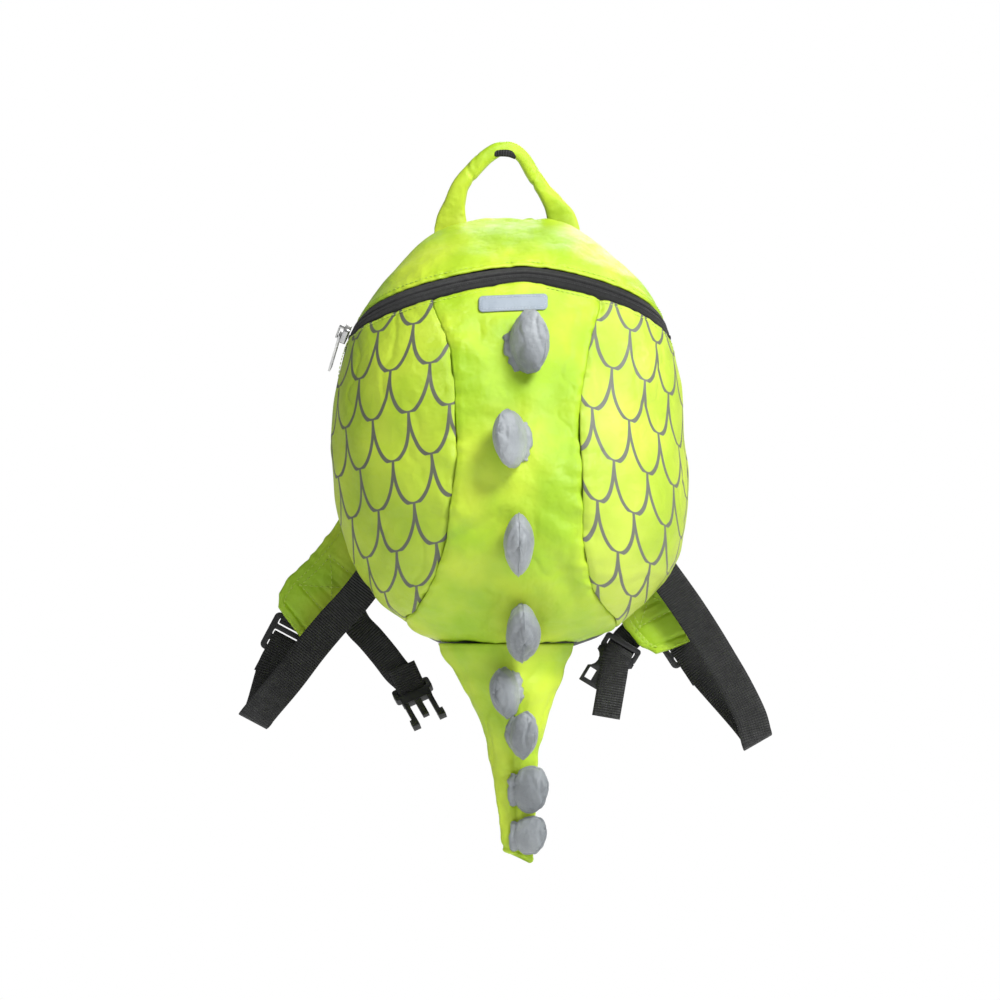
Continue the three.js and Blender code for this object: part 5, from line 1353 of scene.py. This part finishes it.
def make_label():
    width, height = LABEL_WIDTH, LABEL_HEIGHT
    rows, cols, corner = 24, 90, 2.6
    z = np.linspace(0.5, -0.5, rows)[:, None] * height
    over = np.maximum(np.abs(z) - (height / 2 - corner), 0)
    half = width / 2 - corner + np.sqrt(np.maximum(corner**2 - over**2, 0))
    x = np.linspace(-1, 1, cols)[None, :] * half
    edge = np.minimum(half - np.abs(x), height / 2 - np.abs(z) + 0 * x)
    lift = 1.35 - 0.5 * np.exp(-((edge / 0.5) ** 2)) - 0.25 * np.exp(-(((edge - 1.5) / 0.35) ** 2))
    lift = lift + 0.12 * noise(x / 6, z / 3, 61)
    outer = skin(*label_places(x, z), lift)
    piece = wall("label_cloth_patch", outer, np.stack([x + 0 * z, z + 0 * x], -1), 0.9, label_cloth)
    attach(piece, "bag")
    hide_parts("label")
    angle = np.linspace(0, 2 * math.pi, 160)
    c, s = np.cos(angle), np.sin(angle)
    stitch_x = np.sign(c) * np.abs(c) ** 0.22 * (width / 2 - 1.4)
    stitch_z = np.sign(s) * np.abs(s) ** 0.22 * (height / 2 - 1.4)
    line = spaced(np.stack([stitch_x, stitch_z], 1), 200)
    row = skin(*label_places(line[:, 0], line[:, 1]), 1.3)
    stitched("label_stitches", [row], pale_thread, 1.9, 1.4, 0.4)


make_label()

# Back panel and rim binding

BACK_MIDDLE = np.array([BODY_CENTRE, 0, -TOP_DROP - BODY_HEIGHT * 0.52])


def rim_line(crown_count=90, flank_count=60):
    drawn = 1 - TUCK_IN
    crown = SHOULDER_MIDDLE + (spaced(crown_line(), crown_count) - SHOULDER_MIDDLE) * drawn
    crown[:, 1] = 0
    levels = SHOULDER_DOWN + (1 - SHOULDER_DOWN) * (np.arange(flank_count) + 1) / flank_count
    flanks = []
    for sign in (1, -1):
        line = plain_skin(sign, levels)
        line[:, 1] = 0
        flanks.append(line)
    return np.vstack([crown, flanks[0], flanks[1][::-1]])


def make_back_panel():
    outline = rim_line()
    pillow = [(-0.96, 0.97), (-1, 0.985), (-0.5, 1), (0.1, 1.0), (0.45, 0.995), (0.75, 0.985)]
    pillow += [(0.8, s) for s in np.linspace(0.97, 0.02, 40)]
    depths, sizes = np.array(pillow).T
    rings = BACK_MIDDLE + (outline - BACK_MIDDLE)[None] * sizes[:, None, None]
    rings[..., 1] = depths[:, None] * BACK_FACE
    uv = np.stack([rings[..., 0], rings[..., 2]], -1)
    piece = loft("back_panel_mesh", rings, uv, back_mesh)
    behind = np.arange(rings.shape[0]) >= 5
    held = np.where(behind[:, None], 0.0, 1.0) * np.ones(rings.shape[:2])
    x, z = rings[..., 0] - BODY_CENTRE, rings[..., 2]
    rim_away = np.broadcast_to((1 - sizes[:, None]) * 105, x.shape)
    channel = np.minimum(np.abs(np.abs(x) - 26), np.abs(z + 215) + 1000 * (np.abs(x) > 26))
    seams = np.minimum(channel, np.abs(rim_away - 7))
    held[seams < 1.6] = 1
    puffed(piece, np.concatenate([held.ravel(), [1, 0]]), 4.0, 0.005)
    relief = np.where(behind[:, None], -1.6 * np.exp(-((seams / 2.2) ** 2)) + 1.4 * np.tanh(seams / 14), 0)
    relief = relief + np.where(behind[:, None], 0.4 * noise(x / 15, z / 15, 81), 0)
    moved_out(piece, np.concatenate([relief.ravel(), [0, float(relief[-1].mean())]]))
    soft_piece(piece, "back_panel")


make_back_panel()


BINDING_WIDE, BINDING_THICK, BINDING_BACK, BINDING_SIDES = 7.14, 4.2, -3.0, 12


def make_binding():
    """A closed band of cloth along the rim, in the plane of the back panel."""
    line = rim_line(200, 160)
    line = spaced(np.vstack([line, line[:1]]), 520)
    line[:, 1] = BINDING_BACK
    cross = np.broadcast_to([0.0, 1.0, 0.0], line.shape)
    angle = np.arange(BINDING_SIDES) * 2 * math.pi / BINDING_SIDES
    section = np.stack([np.cos(angle), np.sin(angle)], 1)
    rings, uv, *_ = band_rings(line, cross, BINDING_WIDE, BINDING_THICK, section)
    rings = rings[:-1]
    faces = grid_faces(len(rings), BINDING_SIDES, 0, True)
    last = (len(rings) - 1) * BINDING_SIDES
    for j in range(BINDING_SIDES):
        k = (j + 1) % BINDING_SIDES
        faces.append([last + j, j, k, last + k])
    piece = new_mesh("rim_binding", rings.reshape(-1, 3), faces, uv[:-1].reshape(-1, 2), [binding_cloth])
    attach(piece, "bag")


make_binding()

# Handle


def with_cross(points):
    """The direction of a line's width: square to it, in the front view."""
    way = ways(points)
    return unit(np.stack([-way[:, 2], 0 * way[:, 0], way[:, 0]], 1))


def through(points, cross, wide, thick, count):
    """A smooth line through rows of points, with their widths' directions, widths and thicknesses."""
    line = smooth_line(points, count)
    rest = between_rows(np.column_stack([cross, wide, thick]), count)
    return line, rest[:, :3], rest[:, 3], rest[:, 4]


def make_handle():
    table = np.array(HANDLE_ROWS)
    legs_back = BACK_FACE + CLEARANCE + table[0, 3] * HANDLE_THICKNESS / 2
    lap_drop = TOP_DROP + TUCK_IN * (-TOP_DROP - SHOULDER_MIDDLE[2]) + HANDLE_LAP
    share = np.maximum(0, table[:, 1] / table[0, 1])
    stretch = 1 + (lap_drop / (-table[0, 1] * HANDLE_SPAN) - 1) * share**2
    up = table[:, 1] * HANDLE_SPAN * stretch
    points = np.stack([table[:, 0] * HANDLE_SPAN, table[:, 4] * legs_back, up], 1)
    wide, thick = table[:, 2] * HANDLE_WIDTH, table[:, 3] * HANDLE_THICKNESS
    line, cross, wide, thick = through(points, with_cross(points), wide, thick, 210)
    rings, uv, *_ = band_rings(line, cross, wide * 0.97, thick * 0.97, round_section(40, 0.75))
    piece = loft("grab_handle_cloth", rings, uv, lime_cloth)
    run = uv[..., 1]
    round_place = np.broadcast_to(np.arange(40)[None, :] / 40, run.shape)
    relief = 0.35 * noise(run / 14, round_place * 4, 91)
    relief = relief + 0.45 * crease(run / 16 + 2 * round_place, round_place * 3, 92)
    total = run[-1, 0]
    fold = -0.7 * np.exp(-(((run - total * 0.71) - 14 * (round_place - 0.5)) / 1.6) ** 2)
    fold = fold - 0.6 * np.exp(-(((run - total * 0.3) + 12 * (round_place - 0.5)) / 1.6) ** 2)
    seam = -0.8 * np.exp(-(((round_place - 0.75) * 60) / 2.0) ** 2)
    moved_out(piece, np.concatenate([(relief + fold + seam).ravel(), [0, 0]]))
    soft_piece(piece, "grab_handle")
    core = np.array([(-11.5, -1, 1.2), (-8, -2.6, 2.3), (-3.5, -3.4, 2.6), (1, -3.4, 2.2), (4.5, -2, 1.0)])
    line = smooth_line(core, 40)
    rings, uv, *_ = band_rings(line, with_cross(line), 4.6, 3.4, round_section(16, 0.7))
    piece = loft("handle_core", rings, uv, webbing_finish)
    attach(piece, "bag")


make_handle()

# Shoulder pads

PAD_BASE = BACK_FACE + CLEARANCE
SIGN = {"left": -1, "right": 1}


def pad_rows(side):
    sign = SIGN[side]
    table = np.array(PAD_ROWS[side])
    x = BODY_CENTRE + sign * (PAD_TOP_SIDE + table[:, 0] * PAD_REACH)
    y = PAD_BASE + table[:, 4] * PAD_THICKNESS / 2 + table[:, 2] * PAD_STAND_OFF
    points = np.stack([x, y, -TOP_DROP - PAD_TOP_DROP - table[:, 1] * PAD_DROP], 1)
    return points, with_cross(points), table[:, 3] * PAD_WIDTH, table[:, 4] * PAD_THICKNESS


BOX_FROM_END = {"left": 33.0, "right": 34.0}  # the middle of the crossed box of stitches
BOX_HALF = 13.5
PAD_HEM = 5


def make_pad(side):
    line, cross, wide, thick = through(*pad_rows(side), 170)
    rings, uv, face, cross = band_rings(line, cross, wide, thick * 0.86, round_section(48, 0.6))
    piece = loft(f"shoulder_pad_{side}_cloth", rings, uv, lime_cloth)
    across, run = uv[..., 0], uv[..., 1]
    half = wide[:, None] / 2
    from_edge = half - np.abs(across)
    total = run[-1, 0]
    held = np.where((from_edge < 2.5) | (run < 3) | (total - run < 3), 1.0, 0.0)
    puffed(piece, np.concatenate([held.ravel(), [1, 1]]), 3.5, 0.0022)
    end_away = np.minimum(from_edge, total - run)
    relief = -0.9 * np.exp(-(((end_away - PAD_HEM) / 1.1) ** 2))
    relief = relief + 0.5 * noise(run / 4, from_edge / 12, 95) * np.exp(-end_away / 7)
    relief = relief + 0.55 * noise(run / 20, across / 17, 96)
    mid = total - BOX_FROM_END[side]
    box_x, box_z = across / BOX_HALF, (run - mid) / BOX_HALF
    inside = np.maximum(np.abs(box_x), np.abs(box_z))
    border = np.exp(-(((inside - 1) * BOX_HALF / 0.9) ** 2))
    diagonals = np.exp(-(((np.abs(box_x) - np.abs(box_z)) * 9.5 / 0.9) ** 2)) * (inside < 1)
    relief = relief - 0.8 * np.maximum(border, diagonals)
    moved_out(piece, np.concatenate([relief.ravel(), [0, 0]]))
    soft_piece(piece, f"shoulder_pad_{side}")
    lines = []
    front = 1 if face[-20, 1] < 0 else -1
    for facing in (front, -front):
        for sign in (-1, 1):
            inner = half[:, 0] - PAD_HEM
            path = line + cross * (sign * inner)[:, None] + face * (facing * thick * 0.45)[:, None]
            lines.append(spaced(path[6:-10], 320))

    def on_face(w, at):
        """Points of the pad's front face at distances across it and along it."""
        base, side_way, face_way = (
            np.stack([np.interp(at, run[:, 0], values[:, k]) for k in range(3)], -1)
            for values in (line, cross, face)
        )
        off = front * np.interp(at, run[:, 0], thick) * 0.5
        return base + side_way * w[..., None] + face_way * off[..., None]

    t = np.linspace(0, 1, 30)
    corners = [np.array(corner) * BOX_HALF for corner in ((-1, -1), (1, -1), (1, 1), (-1, 1))]
    for a, b in ((0, 1), (1, 2), (2, 3), (3, 0), (0, 2), (3, 1)):
        w, r = (corners[a] + (corners[b] - corners[a]) * t[:, None]).T
        lines.append(on_face(w, mid + r))
    stitched(f"shoulder_pad_{side}_stitches", lines, lime_thread, 3.0, 2.3, 0.6)



for side in ("left", "right"):
    make_pad(side)

# Webbing, locks and chest strap


def place_at(origin, x_way, y_way):
    """A place with its own X and Y directions, as rows: X, Y, Z and origin."""
    x = unit(x_way)
    y = unit(np.asarray(y_way) - x * np.dot(y_way, x))
    return np.array([x, y, np.cross(x, y), origin])


def in_place(place, points):
    points = np.asarray(points, float)
    return points @ place[:3] + place[3]


def front_cross(angle):
    return np.array([math.cos(math.radians(angle)), 0.0, math.sin(math.radians(angle))])


def loop_start(side):
    start = plain_skin(SIGN[side], LOOP_AT[side]).copy()
    start[1] = BACK_FACE + STRAP_REACH
    return start


def lock_place(side):
    sign = SIGN[side]
    out, down, slant = LOCK_PLACES[side]
    points, _, _, thick = pad_rows(side)
    pad_back = (points[-3:, 1] + thick[-3:] / 2).max()
    origin = loop_start(side) + np.array([sign * out * LOOP_DROP, 0, -down * LOOP_DROP])
    origin[1] = pad_back + 2 * CLEARANCE + WEBBING_THICKNESS + LOCK_THICKNESS / 2
    cross = front_cross(slant)
    return place_at(origin, cross, np.array([cross[2], 0, -cross[0]]))


def hairpin(place, way, slot_y, end_front, end_back):
    bend = 1.5
    inner = slot_y - CLEARANCE
    flat = [
        (end_front, -LOCK_REACH - 2 * CLEARANCE), ((end_front + inner) / 2, -LOCK_REACH - CLEARANCE),
        (inner + 2 * bend, -LOCK_REACH), (inner + bend, -LOCK_REACH),
        (inner + bend * 0.25, -LOCK_REACH + bend * 0.25), (inner, -LOCK_REACH + bend),
        (inner, LOCK_REACH - bend), (inner + bend * 0.25, LOCK_REACH - bend * 0.25),
        (inner + bend, LOCK_REACH), (inner + 2 * bend, LOCK_REACH), (end_back, LOCK_REACH),
    ]
    return [in_place(place, (0, way * y, z)) for y, z in flat]


def strap(node, rows, wide, count):
    """A flat strap through rows of a point and the direction of its width, with rounded edges and ribs."""
    points = np.array([row[0] for row in rows])
    cross = np.array([row[1] for row in rows])
    size = np.full(len(rows), wide)
    line, cross, wide, thick = through(points, cross, size, size * 0 + WEBBING_THICKNESS, count)
    rings, uv, face, cross = band_rings(line, cross, wide, thick, strap_section())
    piece = loft(node + "_strap", rings, uv, webbing_finish)
    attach(piece, "bag")
    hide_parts(node)
    return line, face, cross, uv[:, 0, 1]


def webbing_rows(side):
    sign = SIGN[side]
    start = loop_start(side)
    route = [
        (start + np.array([sign * out * LOOP_DROP, 0, -down * LOOP_DROP]), front_cross(angle))
        for out, down, angle in LOOP_ROWS[side]
    ]
    into = unit(route[0][0] - route[1][0])
    sewn = (route[0][0] + into * WEBBING_LAP, route[0][1])
    fold = route.pop()
    down = unit(fold[0] - route[-1][0])
    middle = fold[0] - down * LOOP_RADIUS + np.array([0, LOOP_RADIUS, 0])
    turned_rows = []
    for i in range(5):
        a = i * math.pi / 4
        p = middle + down * math.sin(a) * LOOP_RADIUS + np.array([0, -math.cos(a) * LOOP_RADIUS, 0])
        turned_rows.append((p, fold[1]))
    cross = front_cross(LOCK_PLACES[side][2])
    pin = hairpin(lock_place(side), 1, 0, LOCK_LENGTH / 2 + 6, LOCK_LENGTH / 2 + 14)
    return [sewn] + route + turned_rows + [(p, cross) for p in pin]


def pad_face(side, x, z):
    """The rear face of a pad at a point of the front view."""
    line, _, _, thick = through(*pad_rows(side), 90)
    near = np.argmin((line[:, 0] - x) ** 2 + (line[:, 2] - z) ** 2)
    return line[near, 1] + thick[near] / 2


def behind_bag(out, down, off):
    """A point behind the bag, by shares of its half width, its height and the pads' stand-off."""
    y = PAD_BASE + PAD_THICKNESS + off * PAD_STAND_OFF
    return np.array([BODY_CENTRE + out * BODY_HALF, y, -TOP_DROP - down * BODY_HEIGHT])


def chest_route(side):
    rows = []
    for out, down, off, angle in CHEST_ROWS[side]:
        cross = front_cross(angle)
        p = behind_bag(out, down, off or 0)
        if off is None:
            edges = [p + cross * share * CHEST_WIDTH for share in (-0.5, 0, 0.5)]
            p[1] = max(pad_face(side, edge[0], edge[2]) for edge in edges)
        p[1] += STRAP_REACH
        rows.append((p, cross))
    return rows


def buckle_place(side):
    out, down, off, length_way, width_way = BUCKLE_PLACES[side]
    return place_at(behind_bag(out, down, off), np.array(width_way), np.array(length_way))


def chest_left_rows():
    route = chest_route("left")
    place = buckle_place("left")
    bar = in_place(place, (0, -(BUCKLE_SLOT + BUCKLE_BAR) / 2, 0))
    axis = place[0]
    back = route[-1][0] - bar
    back = unit(back - axis * np.dot(back, axis))
    side = np.cross(axis, back)
    if side[1] < 0:
        side = -side
    reach = math.hypot(BUCKLE_BAR, MALE_THICKNESS) / 2 + 1.5 * CLEARANCE + WEBBING_THICKNESS / 2

    def at(a, along):
        return bar + side * math.cos(a) * reach + back * (along - math.sin(a) * reach)

    rows = route + [(at(0, 5), axis)] + [(at(i * math.pi / 6, 0), axis) for i in range(7)]
    return rows + [(at(math.pi, 5), axis), (at(math.pi, 14), axis)]


def chest_right_rows():
    place = buckle_place("right")
    front = -BUCKLE_THICKNESS / 2 - STRAP_REACH - CLEARANCE / 2
    threaded = [(-5, 3.1), (-1.6, 2.7), (-0.1, 1.2), (-0.1, -1.2), (1, -3.6), (5, front)]
    rows = chest_route("right") + [(in_place(place, (0, y, z)), place[0]) for y, z in threaded]
    start = rows[-1][0]
    for share, angle in ((0.3, -24), (0.6, -19), (0.8, -20), (1, -23)):
        p = start + np.array([-0.17 * share * FREE_END, 0, -0.985 * share * FREE_END])
        rows.append((p, front_cross(angle)))
    return rows


def rein_rows():
    cross = front_cross(-REIN_SLANT)
    slant = math.radians(REIN_SLANT)
    way = np.array([math.sin(slant), 0, -math.cos(slant)])
    start = np.array([BODY_CENTRE - 0.32 * BODY_HALF, BACK_FACE + STRAP_REACH, -TOP_DROP - BODY_HEIGHT + 9])
    bend = 1.3
    turns = [i * math.pi / 4 for i in range(5)]
    turned_points = [(REIN_DROP + bend * math.sin(a), bend * (1 - math.cos(a))) for a in turns]
    places = [(0, 0), (REIN_DROP * 0.5, 0)] + turned_points + [(REIN_DROP * 0.5, 2 * bend), (6, 2 * bend)]
    return [(start + way * down + np.array([0, back, 0]), cross) for down, back in places]


def cross_stitches(name, strap_parts, from_end, width):
    """Rows of stitches across a strap at some distances from its end, on the side that faces the front."""
    line, face, cross, run = strap_parts
    lines = []
    for distance in from_end:
        i = int(np.argmin(np.abs(run - (run[-1] - distance))))
        out = face[i] if face[i][1] < 0 else -face[i]
        w = np.linspace(-0.5, 0.5, 12)[:, None] * width
        lines.append(line[i] + cross[i] * w + out * (WEBBING_THICKNESS / 2 + 0.05))
    stitched(name, lines, black_thread, 2.2, 1.7, 0.5)


for side in ("left", "right"):
    strap(f"webbing_{side}", webbing_rows(side), WEBBING_WIDTH, 420)
    cross = front_cross(LOCK_PLACES[side][2])
    pin = hairpin(lock_place(side), -1, BAR_STEP, LOCK_LENGTH / 2 + 2, LOCK_LENGTH / 2 + 11)
    strap(f"lock_tab_{side}", [(p, cross) for p in pin], WEBBING_WIDTH, 120)
strap("chest_strap_left", chest_left_rows(), CHEST_WIDTH, 260)
chest_right = strap("chest_strap_right", chest_right_rows(), CHEST_WIDTH, 260)
strap("rein_tab", rein_rows(), REIN_WIDTH, 120)
cross_stitches("chest_strap_stitches", chest_right, (8, 9.6, 1.4), 13)

# Buckles, locks, slider and puller


def rounded_copy(node, kind, width, finish, segments=2, body="bag"):
    """A copy of a hard node with its flat faces joined and its sharp edges rounded."""
    name = f"{node}_{kind}"
    mesh = bag_nodes[node].data.copy()
    mesh.name = name
    bare = bmesh.new()
    bare.from_mesh(mesh)
    bmesh.ops.remove_doubles(bare, verts=bare.verts, dist=2e-5)
    bmesh.ops.dissolve_limit(bare, angle_limit=math.radians(4), verts=bare.verts, edges=bare.edges)
    bare.to_mesh(mesh)
    bare.free()
    mesh.materials.clear()
    mesh.materials.append(finish)
    piece = bpy.data.objects.new(name, mesh)
    scene.collection.objects.link(piece)
    edges = piece.modifiers.new("edges", "BEVEL")
    edges.width = width * 0.001
    edges.segments = segments
    edges.limit_method = "ANGLE"
    edges.angle_limit = math.radians(32)
    edges.use_clamp_overlap = True
    made_plain(piece)
    piece.data.polygons.foreach_set("use_smooth", [True] * len(piece.data.polygons))
    piece.data.set_sharp_from_angle(angle=math.radians(40))
    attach(piece, body)
    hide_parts(node)


for node in ("ladder_lock_left", "ladder_lock_right"):
    rounded_copy(node, "moulding", 0.7, black_plastic, 3)
for node in ("buckle_male", "buckle_female"):
    rounded_copy(node, "moulding", 0.5, black_plastic)
rounded_copy("zip_slider", "casting", 0.35, zip_metal)
rounded_copy("zip_puller", "plate", 0.3, zip_metal, 2, "puller")

bpy.context.view_layer.update()
